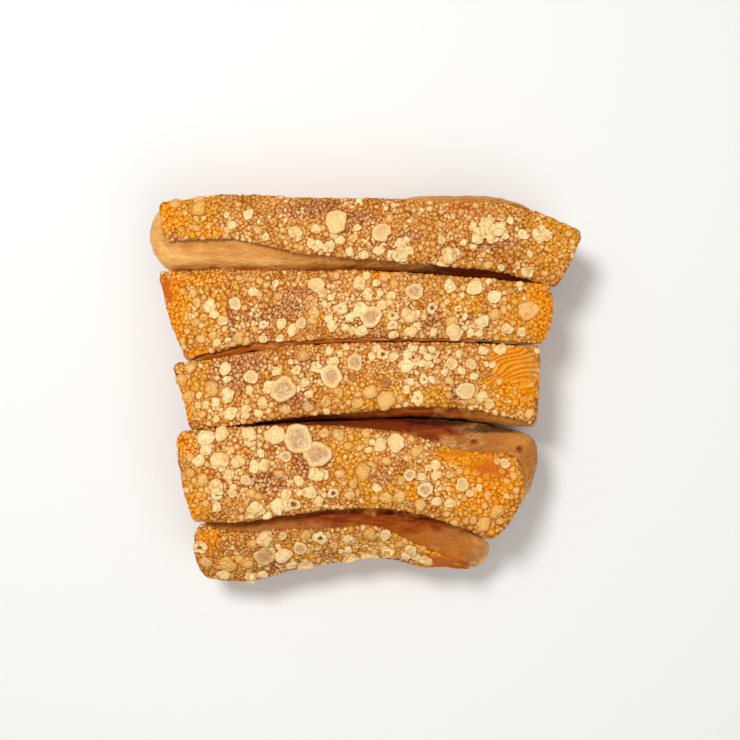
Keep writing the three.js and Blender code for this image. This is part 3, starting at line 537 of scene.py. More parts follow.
# The rim of the sheet turns down, falls and tucks in under the skin.
RIM_ROWS = 13
RIM_RADIUS, RIM_DROP, RIM_TUCK = 0.6, 0.9, 1.3
RIM_INSET = 0.4  # how far inside the skin's outline it starts
RIM_TURN, RIM_FALL = 0.36, 0.34  # shares of its rows that turn down, and that then fall
RIM_TUCK_FROM = 0.66  # share of its rows from which it tucks in
RIM_TUCK_DROP = 0.35  # how far it falls as it does
RIM_RAGGED = (0.45, 3.2)  # how much its fall varies, and over what size
RIM_BUBBLES, RIM_BLISTERS = 0.8, 0.85  # shares of its rows where bubbles and blisters end

SWELL = (0.6, 11.0)  # the skin's slow swell: height and size
RIPPLE = (0.36, 2.9)

# Bubbles between the blisters, largest first: radius, darts for each 100 square mm, and how coarse the skin
# has to be for it.
BUBBLES = [
    (1.3, 5, 0.3), (1.08, 12, 0.1), (0.9, 34, -0.1), (0.75, 80, -0.4), (0.62, 170, -0.8),
    (0.5, 260, -2.0), (0.4, 260, -2.0),
]
BUBBLE_SPACING = 0.78  # share of two radii that their centres keep apart
BUBBLE_REACH = 1.25  # how far past its radius a bubble goes on till it meets the next
BUBBLE_RISE = 0.56
SEAM = 0.15  # bubbles whose heights are this near each other meet in a seam
WARP = (0.38, 0.9)  # how far bubbles stray from round, and over what size
PALE_TONES = (0.5, 0.95)  # tones above which a bubble turns pale, and at which it is palest
PALEST = 0.85
PALE_RADIUS, SMALL_PALE = 0.55, 0.45  # a bubble no wider than this is less pale, by this share

FOLD_WIDTH = 1.8
FOLD_HEIGHT = 1.1
FOLD_BEND = 0.02
FOLD_END = 61.0  # where along the slab the folds run straight

# Kinds of blister. rise: height as a share of its radius. flat: less for a flatter top. under: how far round
# it turns under, in degrees. uneven: how far its outline strays from round. folds: height of the folds in
# its top, as a share of its radius. cream: how pale it is.
KINDS = {
    "cream": dict(rise=0.6, flat=0.75, under=112, uneven=0.15, folds=0.12, cream=0.92),
    "gold": dict(rise=0.5, flat=0.95, under=100, uneven=0.14, folds=0.09, cream=0.3),
    "low": dict(rise=0.3, flat=0.7, under=95, uneven=0.12, folds=0.07, cream=0.35),
    "flat": dict(rise=0.4, flat=0.45, under=114, uneven=0.12, folds=0.05, cream=0.9),
    "lumpy": dict(rise=0.42, flat=0.6, under=108, uneven=0.17, folds=0.2, cream=0.96),
    "ring": dict(rise=0.45, flat=0.5, under=110, uneven=0.11, folds=0.03, cream=0.85),
    "window": dict(rise=0.36, flat=0.4, under=112, uneven=0.1, folds=0.03, cream=0.88),
    "brown": dict(rise=0.34, flat=0.4, under=110, uneven=0.13, folds=0.03, cream=0.75),
    "striped": dict(rise=0.36, flat=0.45, under=100, uneven=0.13, folds=0.05, cream=0.75),
    "dark": dict(rise=0.2, flat=0.6, under=95, uneven=0.1, folds=0.03, cream=0),
    "pit": dict(rise=0.55, flat=0.6, under=112, uneven=0.18, folds=0.09, cream=0.9),
}
WINDOWED = ("window", "brown", "striped", "ring")  # kinds whose thin top shows what is below it
LIPPED = (*WINDOWED, "flat")  # kinds whose top is sunk inside a lip
BLISTER_FOOT = 0.95  # share of its radius where a blister meets the skin
COLLAR = 1.22  # how far out the bubbles round it stay low
BLISTER_SEARCH = 1.6  # how far out there may be points that it moves
BLISTER_LIFT = np.array([0, 0, 0.7])  # turns its axis up from the skin's normal
LUMPS = 7


def rim_profile(row):
    """How far out of the sheet's edge, and how far down, the crackling's rim is at a share of its rows."""
    turn = np.clip(row / RIM_TURN, 0, 1) * math.pi / 2
    drop = np.clip((row - RIM_TURN) / RIM_FALL, 0, 1)
    tuck = smoothstep(RIM_TUCK_FROM, 1.0, row)
    out = RIM_RADIUS * np.sin(turn) - RIM_TUCK * tuck
    return out, RIM_RADIUS * (1 - np.cos(turn)), RIM_DROP * drop + RIM_TUCK_DROP * tuck


def sheet_rows(strip):
    """As many rows along and across the sheet as its triangles allow."""
    step = FINEST_STEP
    while True:
        along = round(strip.length() / step) + 2 * RIM_ROWS
        across = round(strip.width() / step) + 2 * RIM_ROWS
        if 2 * along * across < TRIANGLES:
            return along, across
        step *= 1.01


def skin_sheet(strip):
    """The strip's skin as a fine sheet whose rim turns down and under. Its last ring meets itself on the
    middle line, where it is welded at the end."""
    rows_along, rows_across = sheet_rows(strip)
    rows = {"x_subdivisions": rows_along, "y_subdivisions": rows_across}
    piece = new_primitive(bpy.ops.mesh.primitive_grid_add, "crackling_" + strip.name[-1], **rows)
    j, i = np.divmod(np.arange(len(piece.data.vertices)), rows_along + 1)
    top_along, top_across = rows_along - 2 * RIM_ROWS, rows_across - 2 * RIM_ROWS
    u = np.clip((i - RIM_ROWS) / top_along, 0, 1)
    v = 1 - np.clip((j - RIM_ROWS) / top_across, 0, 1)
    # How many rows past the top's ends and edges each point lies.
    over_u = (i - RIM_ROWS) - u * top_along
    over_v = (j - RIM_ROWS) - (1 - v) * top_across
    u = 0.5 + (u - 0.5) * (1 - 2 * RIM_INSET / strip.length())
    v = 0.5 + (v - 0.5) * (1 - 2 * RIM_INSET / strip.width())

    step = 1e-3
    plan = strip.skin.point(u, v)
    plan[:, 1] += 0.5 * strip.shelf(u, v)
    southward = strip.skin.point(u, v + step) - strip.skin.point(u, v - step)
    eastward = strip.skin.point(u + step, v) - strip.skin.point(u - step, v)
    past_end = unit(np.stack([-southward[:, 1], southward[:, 0]], -1)) * over_u[:, None]
    past_edge = unit(np.stack([-eastward[:, 1], eastward[:, 0]], -1)) * over_v[:, None]
    outward = unit(past_end + past_edge)
    rim = np.maximum(np.abs(over_u), np.abs(over_v)) / RIM_ROWS
    out, turned, down = rim_profile(rim * RIM_ROWS / (RIM_ROWS - 1))
    varied, size = RIM_RAGGED
    ragged = 1 + varied * value_noise(np.c_[plan, np.zeros(len(plan))], size, strip.seed)
    points = np.c_[plan + outward * out[:, None], strip.height(u, v) - turned - down * ragged]
    last = rim == 1
    points[last] = middle_line(strip, u[last], SHEET_UNDERSIDE)
    move_to(piece, points)
    return piece, points, rim


class Crowd:
    """Round things that keep apart, found again by the square of the plan that they lie in."""

    CELL = 2.4

    def __init__(self):
        self.squares = {}

    def square(self, x, y):
        return math.floor(x / self.CELL), math.floor(y / self.CELL)

    def add(self, at, radius):
        low, high = self.square(*(at[:2] - radius)), self.square(*(at[:2] + radius))
        for i in range(low[0], high[0] + 1):
            for j in range(low[1], high[1] + 1):
                self.squares.setdefault((i, j), []).append((*at, radius))

    def has_room(self, at, radius, spacing):
        i, j = self.square(at[0], at[1])
        for square in ((i + a, j + b) for a in (-1, 0, 1) for b in (-1, 0, 1)):
            for x, y, z, other in self.squares.get(square, ()):
                gap = spacing * (radius + other)
                if (at[0] - x) ** 2 + (at[1] - y) ** 2 + (at[2] - z) ** 2 < gap * gap:
                    return False
        return True


def scatter_bubbles(strip, points, allowed, coarseness, blisters):
    """Bubbles of every size that fill the skin between the blisters: their vertex, radius and tone."""
    draw = random.Random(strip.seed)
    crowd = Crowd()
    for blister in blisters:
        crowd.add(blister.at, blister.radius * BLISTER_FOOT)
    places = np.flatnonzero(allowed)
    area = strip.length() * strip.width()
    bubbles = []
    for radius, darts, least in BUBBLES:
        for _ in range(int(darts * area / 100)):
            index = places[draw.randrange(len(places))]
            size = radius * draw.uniform(0.9, 1.1)
            if coarseness[index] > least and crowd.has_room(points[index], size, BUBBLE_SPACING):
                crowd.add(points[index], size)
                bubbles.append((index, size, draw.random()))
    return bubbles


def raise_bubbles(tree, warped, bubbles):
    """Of the highest bubble at each point: its height, the share of the way up, its tone and paleness, and
    how near the point is to the seam with the next bubble."""
    height, second, share, tone, pale = (np.zeros(len(warped)) for _ in range(5))
    for index, radius, shade in bubbles:
        reach = BUBBLE_REACH * radius
        rise = BUBBLE_RISE * radius * (0.7 + 0.6 * shade)
        paleness = PALEST * smoothstep(*PALE_TONES, shade) * (1 if radius > PALE_RADIUS else SMALL_PALE)
        for _, near, away in tree.find_range(warped[index], reach):
            up = math.sqrt(max(0.0, 1 - (away / reach) ** 2))
            if up * rise > height[near]:
                second[near], height[near] = height[near], up * rise
                share[near], tone[near], pale[near] = up, shade, paleness
            elif up * rise > second[near]:
                second[near] = up * rise
    return height, share, tone, pale, 1 - smoothstep(0, SEAM, height - second)


class Blister:
    """One large blister, which moves the points inside its outline onto a dome that turns under."""

    def __init__(self, at, normal, radius, kind, draw):
        self.at, self.normal, self.radius, self.kind = at, normal, radius, kind
        self.shape = KINDS[kind]
        self.phases = [draw.uniform(0, math.tau) for _ in range(8)]
        self.tone = draw.uniform(-0.12, 0.1)
        # Lumps of its top, in radii: x, y, radius and height, the first in the middle and the rest round it.
        self.lumps = [(draw.uniform(-0.15, 0.15), draw.uniform(-0.15, 0.15), 0.45, 0.36)]
        for turn in range(LUMPS):
            angle = turn * math.tau / LUMPS + self.phases[0]
            x, y = 0.62 * math.cos(angle), 0.62 * math.sin(angle)
            self.lumps.append((x, y, draw.uniform(0.3, 0.46), draw.uniform(0.18, 0.36)))

    def outline(self, angle):
        """Its radius at each angle round it."""
        waves = sum(np.cos((k + 2) * angle + phase) / (k + 1.5) for k, phase in enumerate(self.phases))
        return self.radius * (1 + self.shape["uneven"] * waves)

    def apply(self, indices, points, fields):
        east = unit(np.cross([0.0, 1.0, 0.0], self.normal))
        north = np.cross(self.normal, east)
        offset = points[indices] - self.at
        x, y = offset @ east, offset @ north
        radius = self.outline(np.arctan2(y, x))
        away = np.hypot(x, y) / (radius * BLISTER_FOOT)
        collar = smoothstep(1.0, COLLAR, away)
        fields["height"][indices] *= collar
        # Painted shadow: a dark ring round its foot, where the bubbles stay low.
        fields["seam"][indices] = np.maximum(fields["seam"][indices], 0.7 * (1 - collar))
        inside = away < 1
        indices, away, radius, x, y = (each[inside] for each in (indices, away, radius, x, y))
        sideways = unit(x[:, None] * east + y[:, None] * north)

        under = math.radians(self.shape["under"])
        turn = away * under
        reach = np.sin(np.minimum(turn, math.pi / 2))
        flat = self.shape["flat"]
        lift = np.sign(np.cos(turn)) * np.abs(np.cos(turn)) ** flat
        foot = -(abs(math.cos(under)) ** flat)
        up = self.shape["rise"] * self.radius * (lift - foot) / (1 - foot)
        spot = np.stack([x, y], -1) / radius[:, None] / BLISTER_FOOT
        more, crease = self.relief(reach, spot, points[indices], fields, indices)
        up = up + self.radius * more * (1 - smoothstep(0.8, 0.98, away))
        foot_level = np.einsum("ij,j->i", points[indices] - self.at, self.normal)
        side = sideways * (radius * np.sin(turn))[:, None]
        fields["moved"][indices] = self.at + side + self.normal * (up + foot_level)[:, None]
        fields["is_moved"][indices] = True
        # Painted shading: lighter on its top, darker down its flanks, and painted shade at its foot.
        fields["rise"][indices] = 1 - 0.45 * away**2
        fields["seam"][indices] = smoothstep(0.92, 1.0, away)
        if self.kind == "gold":
            fields["golden"][indices] = np.maximum(fields["golden"][indices], 0.8)
        fields["cream"][indices] = self.shape["cream"] + self.tone
        fields["crease"][indices] = crease

    def relief(self, reach, spot, points, fields, indices):
        """How much further up its top is, as a share of its radius, and how far it is into a crease."""
        # The top crumples into folds with creases between them.
        folds = self.shape["folds"]
        bent = points + 0.35 * three_noises(points, 0.9, (31, 32, 33))
        valley = np.abs(value_noise(bent, 0.2 * self.radius + 0.65, 9))
        crumple = value_noise(points, 0.5, 10)
        more = folds * (np.minimum(valley, 0.4) / 0.4 - 0.6 + 0.4 * crumple)
        crease = (0.3 + 4 * folds) * smoothstep(0.17, 0.0, valley + 0.06 * crumple)
        if self.kind in LIPPED:  # a lip, and a darker line inside it
            lip = np.exp(-(((reach - 0.84) / 0.11) ** 2))
            line = np.exp(-(((reach - 0.66) / 0.1) ** 2))
            more = more + 0.07 * lip - 0.06 * (1 - smoothstep(0.4, 0.75, reach))
            crease = crease * (1 - lip) + (0.1 if self.kind == "flat" else 0.3) * line
        if self.kind in WINDOWED:  # a thin middle
            ragged = reach + 0.12 * value_noise(points, 0.4 * self.radius, 6)
            shown = 0.5 if self.kind == "ring" else 1
            fields["window"][indices] = shown * (1 - smoothstep(0.5, 0.68, ragged))
        if self.kind in ("brown", "dark"):
            fields["plum"][indices] = 1
        if self.kind == "dark":
            fields["pit"][indices] = 0.45 * (1 - smoothstep(0.3, 0.9, reach))
        if self.kind == "striped":  # slanting creases
            lines = np.sin(points @ np.array([2.6, 3.4, 0.0])) * (1 - smoothstep(0.6, 0.9, reach))
            more, crease = more + 0.03 * lines, crease - 0.5 * np.minimum(lines, 0)
        if self.kind == "lumpy":  # small domes all over its top
            lump = np.zeros(len(reach))
            for x, y, size, tall in self.lumps:
                away = np.hypot(spot[:, 0] - x, spot[:, 1] - y) / size
                lump = np.maximum(lump, tall * np.sqrt(np.maximum(0, 1 - away**2)))
            more, crease = more + lump - 0.1, crease + 0.7 * smoothstep(0.16, 0.02, lump)
        if self.kind == "pit":  # a hole burst through its top
            hole = reach + 0.3 * value_noise(points, 0.5 * self.radius, 5)
            deep = 1 - smoothstep(0.12, 0.36, hole)
            more = more - 0.4 * deep
            # Its hole is painted dark, as painted shade in the recess.
            fields["pit"][indices] = 0.95 * deep
        return more, crease


def tree_of(points):
    tree = kdtree.KDTree(len(points))
    for index, point in enumerate(points):
        tree.insert(point, index)
    tree.balance()
    return tree


def blisters_of(strip, points, normals, rim, seen):
    """The strip's blisters, each on the point of the skin that looks nearest to its place."""
    draw = random.Random(100 + strip.seed)
    top = np.flatnonzero(rim == 0)
    blisters = []
    for x, y, radius, *kind in strip.sizes["blisters"]:
        index = top[np.argmin(np.hypot(seen[top, 0] - x, seen[top, 1] - y))]
        raised = unit(normals[index] + BLISTER_LIFT)
        blisters.append(Blister(points[index], raised, radius, kind[0] if kind else "cream", draw))
    return blisters


def bubbled_skin(strip, points, rim, blisters):
    """What each point of the skin between the blisters is like. height, in mm, is how far it rises."""
    warped = points + WARP[0] * three_noises(points, WARP[1], (21, 22, 23))
    bare = strip.patch("bare", points)
    coarseness = 0.75 * value_noise(points, 7.0, 3)
    coarseness += 0.5 * strip.patch("golden", points) - 0.45 * strip.patch("fine", points)
    bubbles = scatter_bubbles(strip, points, (bare < 0.8) & (rim < RIM_BUBBLES), coarseness, blisters)
    height, rise, tone, pale, seam = raise_bubbles(tree_of(warped), warped, bubbles)
    pale *= smoothstep(-0.35, 0.45, value_noise(points, 5.0, 41)) * (1 - 0.6 * strip.patch("orange", points))
    crusted = strip.patch("pale", points) * smoothstep(-0.5, 0.5, value_noise(points, 2.2, 42) + 0.2)
    pale = np.maximum(pale, 0.8 * crusted * smoothstep(0.2, 0.75, tone))
    smooth = 0.8 * bare
    return {
        "height": height * (1 - smooth),
        "rise": rise + (0.86 - rise) * smooth,
        "seam": seam * (1 - smooth),
        "cream": pale * rise * (1 - smooth),
        "tone": tone,
        "plum": strip.patch("plum", points),
        "golden": strip.patch("golden", points),
        **{name: np.zeros(len(points)) for name in ("crease", "window", "pit")},
        "moved": points.copy(),
        "is_moved": np.zeros(len(points), bool),
    }


def draw_into_folds(strip, points, seen, fields):
    """Long curved folds where the skin drew together without blistering."""
    amount = strip.patch("wrinkled", points) * strip.patch("bare", points) * ~fields["is_moved"]
    bend = FOLD_BEND * (FOLD_END - seen[:, 0]) ** 2
    stray = 0.7 * value_noise(points * [0.4, 1, 1], 3.0, 4)
    fold = np.abs(np.sin(math.pi * ((seen[:, 1] + bend) / FOLD_WIDTH + stray))) ** 0.7
    fold *= 0.75 + 0.25 * value_noise(points, 1.6, 5)
    fields["height"] += amount * FOLD_HEIGHT * (fold - 0.5)
    # Painted highlight on the ridges of the folds, and painted shade in their valleys.
    for name, folded in ("rise", 0.6 + 0.4 * fold), ("tone", fold):
        fields[name] += amount * (folded - fields[name])


def crackling(strip):
    piece, points, rim = skin_sheet(strip)
    normals = read(piece, "normal")
    for (size, across), seed in ((SWELL, 1), (RIPPLE, 2)):
        points = points + normals * (size * value_noise(points, across, seed) * (1 - rim))[:, None]
    seen = seen_from_above(points)
    blisters = blisters_of(strip, points, normals, rim, seen)
    fields = bubbled_skin(strip, points, rim, blisters)
    tree = tree_of(points)
    for blister in sorted(blisters, key=lambda b: b.radius):
        found = tree.find_range(blister.at, blister.radius * BLISTER_SEARCH)
        near = np.array([index for _, index, _ in found])
        blister.apply(near[rim[near] < RIM_BLISTERS], points, fields)
    draw_into_folds(strip, points, seen, fields)

    placed = points + normals * (fields["height"] * smoothstep(0.9, 0.7, rim))[:, None]
    placed[fields["is_moved"]] = fields["moved"][fields["is_moved"]]
    move_to(piece, (placed - MIDDLE) * MM)
    for name in ("rise", "seam", "cream", "crease", "window", "pit", "plum", "golden", "tone"):
        store(piece, name, np.clip(fields[name], 0, 1))
    for name in ("orange", "rosy"):
        store(piece, name, strip.patch(name, points))
    store(piece, "rim", smoothstep(0.25, 0.6, rim))
    finish_piece(piece, strip, crackling_finish)


# ---- belly ----

AROUND = 720
LEVELS = 104
BELLY_TOP = 2.3  # how far under the skin the belly's middle line is
SHELF_RAISED = 1.3  # how far a shelf of fat wells up beside the crackling

# Shares of the height between which one layer turns into the next.
MEAT_TOP = (0.6, 0.55)
MEAT_FOOT = (0.4, 0.45)
LOWER_MEAT = (0.3, 0.25)


def walk_round(count):
    """u and v of points at even places round an outline, anticlockwise from its south-west corner."""
    along = round(count * 0.42)
    across = count // 2 - along
    up = np.arange(along) / along
    side = np.arange(across) / across
    zero, one = np.zeros, np.ones
    u = np.concatenate([up, one(across), 1 - up, zero(across)])
    v = np.concatenate([one(along), 1 - side, zero(along), side])
    return u, v


def side_rows(count):
    """Weights of the middle line and the rows of SIDE at even steps from the middle down the side."""
    rows = np.linspace(0, len(SIDE), count)
    weights = np.maximum(0, 1 - np.abs(rows[:, None] - np.arange(len(SIDE) + 1)[None, :]))
    for _ in range(3):
        padded = np.pad(weights, ((1, 1), (0, 0)), mode="edge")
        inner = (padded[:-2] + padded[1:-1] + padded[2:]) / 3
        weights[1:-1] = inner[1:-1]
    return weights


def belly_tube(strip):
    """A tube of even rings, with each point's place round it and its level from the top."""
    sizes = {"vertices": AROUND, "radius": 1, "depth": 2, "end_fill_type": "NOTHING"}
    piece = new_primitive(bpy.ops.mesh.primitive_cylinder_add, "belly_" + strip.name[-1], **sizes)
    edit(
        piece,
        bpy.ops.mesh.select_non_manifold,
        lambda: bpy.ops.mesh.select_all(action="INVERT"),
        lambda: bpy.ops.mesh.subdivide_edgering(number_cuts=LEVELS - 2, interpolation="LINEAR"),
    )
    start = read(piece, "co")
    turn = np.arctan2(start[:, 1], start[:, 0]) / math.tau
    spoke = np.round(turn * AROUND).astype(int) % AROUND
    level = np.round((1 - start[:, 2]) / 2 * (LEVELS - 1)).astype(int)
    return piece, spoke, level


def belly_rings(strip, u, v):
    """The belly's outer face, ring by ring, from under the crackling's middle to under the foot's."""
    ratio = strip.width() / strip.length()
    rings = [middle_line(strip, u, BELLY_TOP)]
    for row in SIDE:
        inward = row.get("inward", 0)
        at = 0.5 + (u - 0.5) * (1 - inward * ratio), 0.5 + (v - 0.5) * (1 - inward)
        skin, swollen, top = strip.skin.point(*at), strip.belly.point(*at), strip.height(*at)
        plan = skin + (swollen - skin) * row.get("belly", 1)
        for _ in range(4):
            plan = (np.roll(plan, 1, 0) + plan * 2 + np.roll(plan, -1, 0)) / 4
        along = np.roll(plan, -1, 0) - np.roll(plan, 1, 0)
        outward = unit(np.stack([along[:, 1], -along[:, 0]], -1))
        shelf = row.get("shelf", 0) * strip.shelf(u, v)
        raised = SHELF_RAISED * smoothstep(0.0, 0.8, shelf)
        height = top + raised - row["down"] if "down" in row else top * row["share"]
        out = row.get("out", 0) + shelf + row.get("pressed", 0) * strip.pressed(u, v)
        rings.append(np.c_[plan + outward * out[:, None], height])
    return np.einsum("lr,rac->lac", side_rows(LEVELS), np.array(rings))


def layers(strip, points, share):
    """How much of the belly is meat and not fat at each point, and its depth as the layers lie."""
    drift = 0.06 * value_noise(points * [1, 1, 0.1], 24.0, 11 + strip.seed)
    share = share + drift + 0.025 * value_noise(points * [1, 1, 0.4], 5.0, 12)
    thicker = 0.035 * value_noise(points * [1, 1, 0.1], 15.0, 20)
    meat = smoothstep(*MEAT_TOP, share - thicker) * smoothstep(*MEAT_FOOT, share + thicker)
    meat += smoothstep(*LOWER_MEAT, share + thicker)
    marbling = smoothstep(0.35, 0.65, value_noise(points * [0.3, 1, 1.5], 3.0, 21))
    meat *= 1 - 0.7 * marbling
    return np.clip(np.maximum(meat, strip.patch("lean", points)), 0, 1), np.clip(1 - share, 0, 1)


def belly(strip):
    piece, spoke, level = belly_tube(strip)
    u, v = walk_round(AROUND)
    rings = belly_rings(strip, u, v)
    points = rings[level, spoke]
    move_to(piece, points)

    normals = read(piece, "normal")
    share = points[:, 2] / strip.height(u, v)[spoke]
    meat, depth = layers(strip, points, share)
    fibres = value_noise(points * [0.14, 1, 1], 0.8, 13) + 0.6 * value_noise(points * [0.3, 1, 1], 0.45, 14)
    tears = -np.maximum(0, value_noise(points * [0.25, 1, 1], 2.2, 17) - 0.35)
    curds = value_noise(points * [0.5, 1, 1], 1.7, 18)
    lobes = value_noise(points * [1, 1, 0.6], 5.5, 19)
    lift = 0.3 * value_noise(points, 9.0, 15) - 0.2 + 0.14 * value_noise(points, 2.4, 16)
    lift += meat * (0.2 * fibres + 1.4 * tears - 0.2)
    lift += (1 - meat) * (0.3 * lobes + 0.2 * curds + 0.1 * fibres)
    lift *= smoothstep(0.0, 0.04, share)
    points = points + normals * lift[:, None]
    points[:, 2] = np.maximum(points[:, 2], 0)
    points[level == 0] = rings[0, spoke[level == 0]]
    move_to(piece, (points - MIDDLE) * MM)
    store(piece, "meat", meat)
    store(piece, "fibre", np.clip(0.5 + 0.4 * fibres + 0.8 * tears, 0, 1))
    store(piece, "depth", depth)
    for name in ("char", "soot", "strands", "tan"):
        store(piece, name, strip.patch(name, points))
    finish_piece(piece, strip, belly_finish)


# ---- finishes ----


def linear(colour):
    """A colour written as #rrggbb, for a shader."""
    parts = [int(colour[i : i + 2], 16) / 255 for i in (1, 3, 5)]
    return (*[p / 12.92 if p <= 0.04045 else ((p + 0.055) / 1.055) ** 2.4 for p in parts], 1.0)


class Number:
    """A shader socket that carries a number, so that maths on it reads as an expression."""

    def __init__(self, finish, socket):
        self.finish, self.socket = finish, socket

    def maths(self, operation, *values):
        values = [v.socket if isinstance(v, Number) else v for v in values]
        node = self.finish.node("Math", {"operation": operation}, dict(enumerate(values)))
        return Number(self.finish, node.outputs[0])

    def __add__(self, other):
        return self.maths("ADD", self, other)

    def __sub__(self, other):
        return self.maths("SUBTRACT", self, other)

    def __mul__(self, other):
        return self.maths("MULTIPLY", self, other)

    def __rsub__(self, other):
        return self.maths("SUBTRACT", other, self)

    __radd__, __rmul__ = __add__, __mul__

    def clamped(self):
        return self.maths("MINIMUM", self.maths("MAXIMUM", self, 0.0), 1.0)

    def between(self, low, high):
        """0 below low and 1 above high."""
        return ((self - low) * (1 / (high - low))).clamped()


class Finish:
    """A material whose nodes are made one by one."""

    def __init__(self, name, **constants):
        self.material = bpy.data.materials.new(name)
        self.material.use_nodes = True
        self.tree = self.material.node_tree
        self.surface = self.tree.nodes["Principled BSDF"]
        self.look(**constants)
        self.place = self.node("TexCoord").outputs["Object"]

    def node(self, kind, settings=None, inputs=None):
        node = self.tree.nodes.new("ShaderNode" + kind)
        for name, value in (settings or {}).items():
            setattr(node, name, value)
        for name, value in (inputs or {}).items():
            self.feed(node.inputs[name], value)
        return node

    def feed(self, socket, value):
        value = getattr(value, "socket", value)
        if isinstance(value, bpy.types.NodeSocket):
            self.tree.links.new(value, socket)
        else:
            socket.default_value = value

    def look(self, **inputs):
        """Gives the surface its inputs, each a constant or a socket."""
        for name, value in inputs.items():
            self.feed(self.surface.inputs[name.replace("_", " ")], value)

    def attributes(self, *names):
        nodes = [self.node("Attribute", {"attribute_name": name}) for name in names]
        return [Number(self, node.outputs["Fac"]) for node in nodes]

    def noise(self, size, detail=2.0, stretch=(1, 1, 1), roughness=0.5):
        """Noise whose features are about size metres across, longer along an axis with a small stretch."""
        place = self.node("VectorMath", {"operation": "MULTIPLY"}, {0: self.place, 1: stretch}).outputs[0]
        settings = {"Vector": place, "Scale": 1 / size, "Detail": detail, "Roughness": roughness}
        return Number(self, self.node("TexNoise", {}, settings).outputs["Fac"])

    def grain(self, size):
        """How far a point is from the middle of the nearest grain, for grains about size metres across."""
        settings = {"Vector": self.place, "Scale": 1 / size}
        return Number(self, self.node("TexVoronoi", {}, settings).outputs["Distance"])

    def mix(self, share, first, second):
        first, second = (linear(c) if isinstance(c, str) else c for c in (first, second))
        node = self.node("Mix", {"data_type": "RGBA"}, {0: share, 6: first, 7: second})
        return node.outputs[2]

    def bump(self, height, distance):
        node = self.node("Bump", {}, {"Strength": 1.0, "Distance": distance, "Height": height})
        self.look(Normal=node.outputs["Normal"])


def make_crackling_finish():
    finish = Finish(
        "crackling",
        Subsurface_Weight=0.1,
        Subsurface_Scale=0.001,
        Subsurface_Radius=(1.0, 0.4, 0.15),
        Specular_IOR_Level=0.02,
        Coat_Roughness=0.14,
        Coat_IOR=1.45,
    )
    mix = finish.mix
    rise, seam, cream, tone = finish.attributes("rise", "seam", "cream", "tone")
    orange, plum, rosy, golden = finish.attributes("orange", "plum", "rosy", "golden")
    window, crease, pit, rim = finish.attributes("window", "crease", "pit", "rim")
    cloud = finish.noise(0.009, 3.0).between(0.35, 0.65)
    mottle = finish.noise(0.0007, 2.0)
    grain = finish.grain(0.0008)

    def skin(dull, bright, in_golden, in_plum, in_orange):
        colour = mix(golden, mix(cloud, dull, bright), in_golden)
        return mix(orange, mix(plum * 0.75, colour, in_plum), in_orange)

    # low is painted shade for the crevices between bubbles; high is a painted highlight for their tops, and
    # the colour of bright bubbles.
    low = skin("#a0540f", "#b46c20", "#ba6c12", "#8e4822", "#c66606")
    body = mix(rosy, skin("#be6e1e", "#d88e36", "#dc9024", "#b26a38", "#f09414"), "#cf6422")
    high = skin("#f2b862", "#f8ca82", "#fac254", "#eeb880", "#ffba3e")
    body = mix(tone.between(0.1, 0.9) * 0.35, body, high)
    # Painted shade and highlight: darker low on the sides of bubbles and blisters, lighter on their tops.
    colour = mix(rise.between(0.55, 0.82), low, body)
    colour = mix(rise.between(0.84, 1.0) * 0.5, colour, high)
    # A painted highlight on the middle of each fine grain, and painted shade between the grains.
    colour = mix(grain.between(0.35, 0.1) * 0.4, colour, high)
    colour = mix(grain.between(0.45, 0.75) * 0.4, colour, low)
    pale = mix(cloud, "#ffe8b0", "#f9d696")
    pale = mix(mottle.between(0.42, 0.62) * 0.6, pale, "#e8b86c")
    # Pale bubbles and blisters, whose paleness fades down their flanks as painted shade.
    colour = mix(cream * rise.between(0.5, 0.8), colour, pale)
    colour = mix(window * 0.8, colour, mix(mottle.between(0.4, 0.6), "#aa7450", "#d9ab7c"))
    # Painted shade in the creases of blister tops: between folds, between lumps and in slanting grooves.
    colour = mix(crease * 0.75, colour, mix(cream, "#9c5418", "#cc8434"))
    # Painted shade along the seams between bubbles and round the feet of blisters.
    colour = mix(seam * 0.3, colour, mix(plum, "#84400c", "#6a3220"))
    # Painted shade in the holes of burst blisters; on dark blisters, their own darker middle.
    colour = mix(pit, colour, "#6e3810")
    # The turned-under rim: partly its own reddish brown, partly painted shade under the skin's edge.
    colour = mix(rim * 0.5, colour, "#a4581a")
    bare_top = rise.between(0.75, 1.0) * (1 - rim)
    finish.look(Base_Color=colour, Roughness=0.5 + 0.12 * cream)
    finish.look(Coat_Weight=0.35 * bare_top * (1 - 0.6 * cream))
    finish.bump(mottle - grain, 0.00016)
    return finish.material


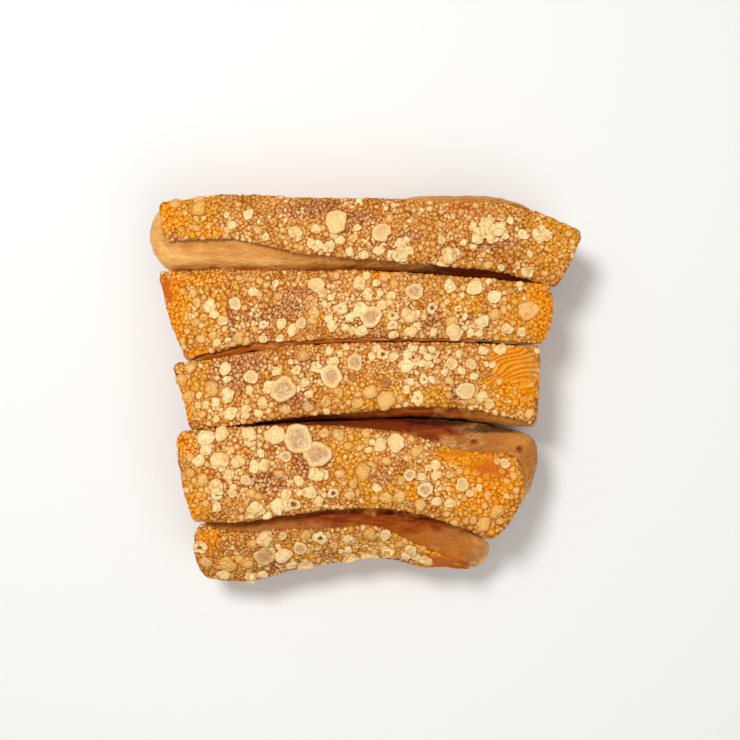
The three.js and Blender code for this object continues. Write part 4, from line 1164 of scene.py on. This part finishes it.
def make_belly_finish():
    finish = Finish(
        "belly",
        Subsurface_Weight=0.15,
        Subsurface_Scale=0.002,
        Subsurface_Radius=(1.0, 0.4, 0.2),
        Coat_Roughness=0.2,
        Specular_IOR_Level=0.05,
    )
    mix = finish.mix
    meat, fibre, depth, browned = finish.attributes("meat", "fibre", "depth", "tan")
    strands, char, soot = finish.attributes("strands", "char", "soot")
    streaks = finish.noise(0.002, 5.0, stretch=(0.32, 1, 1), roughness=0.6)
    fine = finish.noise(0.0007, 3.0, stretch=(0.45, 1, 1), roughness=0.6)
    cloud = finish.noise(0.011, 3.0)
    fat = mix(streaks.between(0.3, 0.7), "#e69c4a", "#fccb7c")
    fat = mix(cloud.between(0.5, 0.75) * 0.4, fat, "#c87c30")
    fat = mix(fine.between(0.5, 0.75) * 0.5, fat, "#cc8840")
    tan = mix(fine.between(0.35, 0.65), "#a4560e", "#dc963a")
    fat = mix(browned * (1 - depth.between(0.12, 0.4) * 0.65) * 0.8, fat, tan)
    fat = mix(strands * fine.between(0.35, 0.65) * 0.8, fat, "#96492a")
    lean = mix(fibre.between(0.15, 0.85), "#742406", "#b0581e")
    lean = mix(fine.between(0.45, 0.7) * 0.5, lean, "#8e380e")
    colour = mix(meat, fat, lean)
    # Just under the crackling: partly the fat's own reddish brown, partly painted shade under the
    # crackling's edge.
    colour = mix(depth.between(0.09, 0.04) * 0.55, colour, "#bc620e")
    colour = mix(depth.between(0.9, 1.0) * 0.7, colour, "#5f2f17")
    colour = mix(char * 0.85, colour, "#7c2e0e")
    # Painted shadow: a near-black band where strip 4's north side meets strip 3 in the gap between them.
    colour = mix(soot * 0.8, colour, "#34160e")
    finish.look(Base_Color=colour, Roughness=0.5 - 0.25 * streaks)
    finish.look(Coat_Weight=0.3 * cloud * depth.between(0.07, 0.16))
    finish.bump(fine + streaks, 0.0005)
    return finish.material


# ---- studio ----

LAMPS = {"key": ((-0.2, 0.24, 0.72), 0.2, 3.8), "fill": ((0.25, -0.3, 0.7), 0.6, 1.35)}  # place, size, power
SKY = 0.38


def studio():
    floor = new_primitive(bpy.ops.mesh.primitive_plane_add, "floor", size=4.0)
    floor.data.materials.append(Finish("floor", Roughness=0.85, Base_Color=linear("#f2f1ee")).material)

    camera = bpy.data.objects.new("camera", bpy.data.cameras.new("camera"))
    bpy.context.collection.objects.link(camera)
    camera.data.lens, camera.data.sensor_width = LENS, SENSOR
    camera.location = (np.array([*EYE, SKIN_LEVEL + EYE_ABOVE_SKIN]) - MIDDLE) * MM
    camera.data.clip_start, camera.data.clip_end = 0.01, 10.0
    bpy.context.scene.camera = camera

    for name, (place, size, power) in LAMPS.items():
        light = bpy.data.lights.new(name, "AREA")
        light.shape, light.size, light.energy = "DISK", size, power
        holder = bpy.data.objects.new(name, light)
        bpy.context.collection.objects.link(holder)
        holder.location = place
        aim = -holder.location
        holder.rotation_euler = aim.to_track_quat("-Z", "Y").to_euler()

    world = bpy.data.worlds.new("studio")
    world.use_nodes = True
    backdrop = world.node_tree.nodes["Background"]
    backdrop.inputs["Color"].default_value = (1.0, 1.0, 1.0, 1.0)
    backdrop.inputs["Strength"].default_value = SKY
    bpy.context.scene.world = world
    bpy.context.scene.view_settings.view_transform = "Standard"


crackling_finish = make_crackling_finish()
belly_finish = make_belly_finish()
for name, sizes in STRIPS.items():
    strip = Strip(name, sizes)
    belly(strip)
    crackling(strip)
studio()
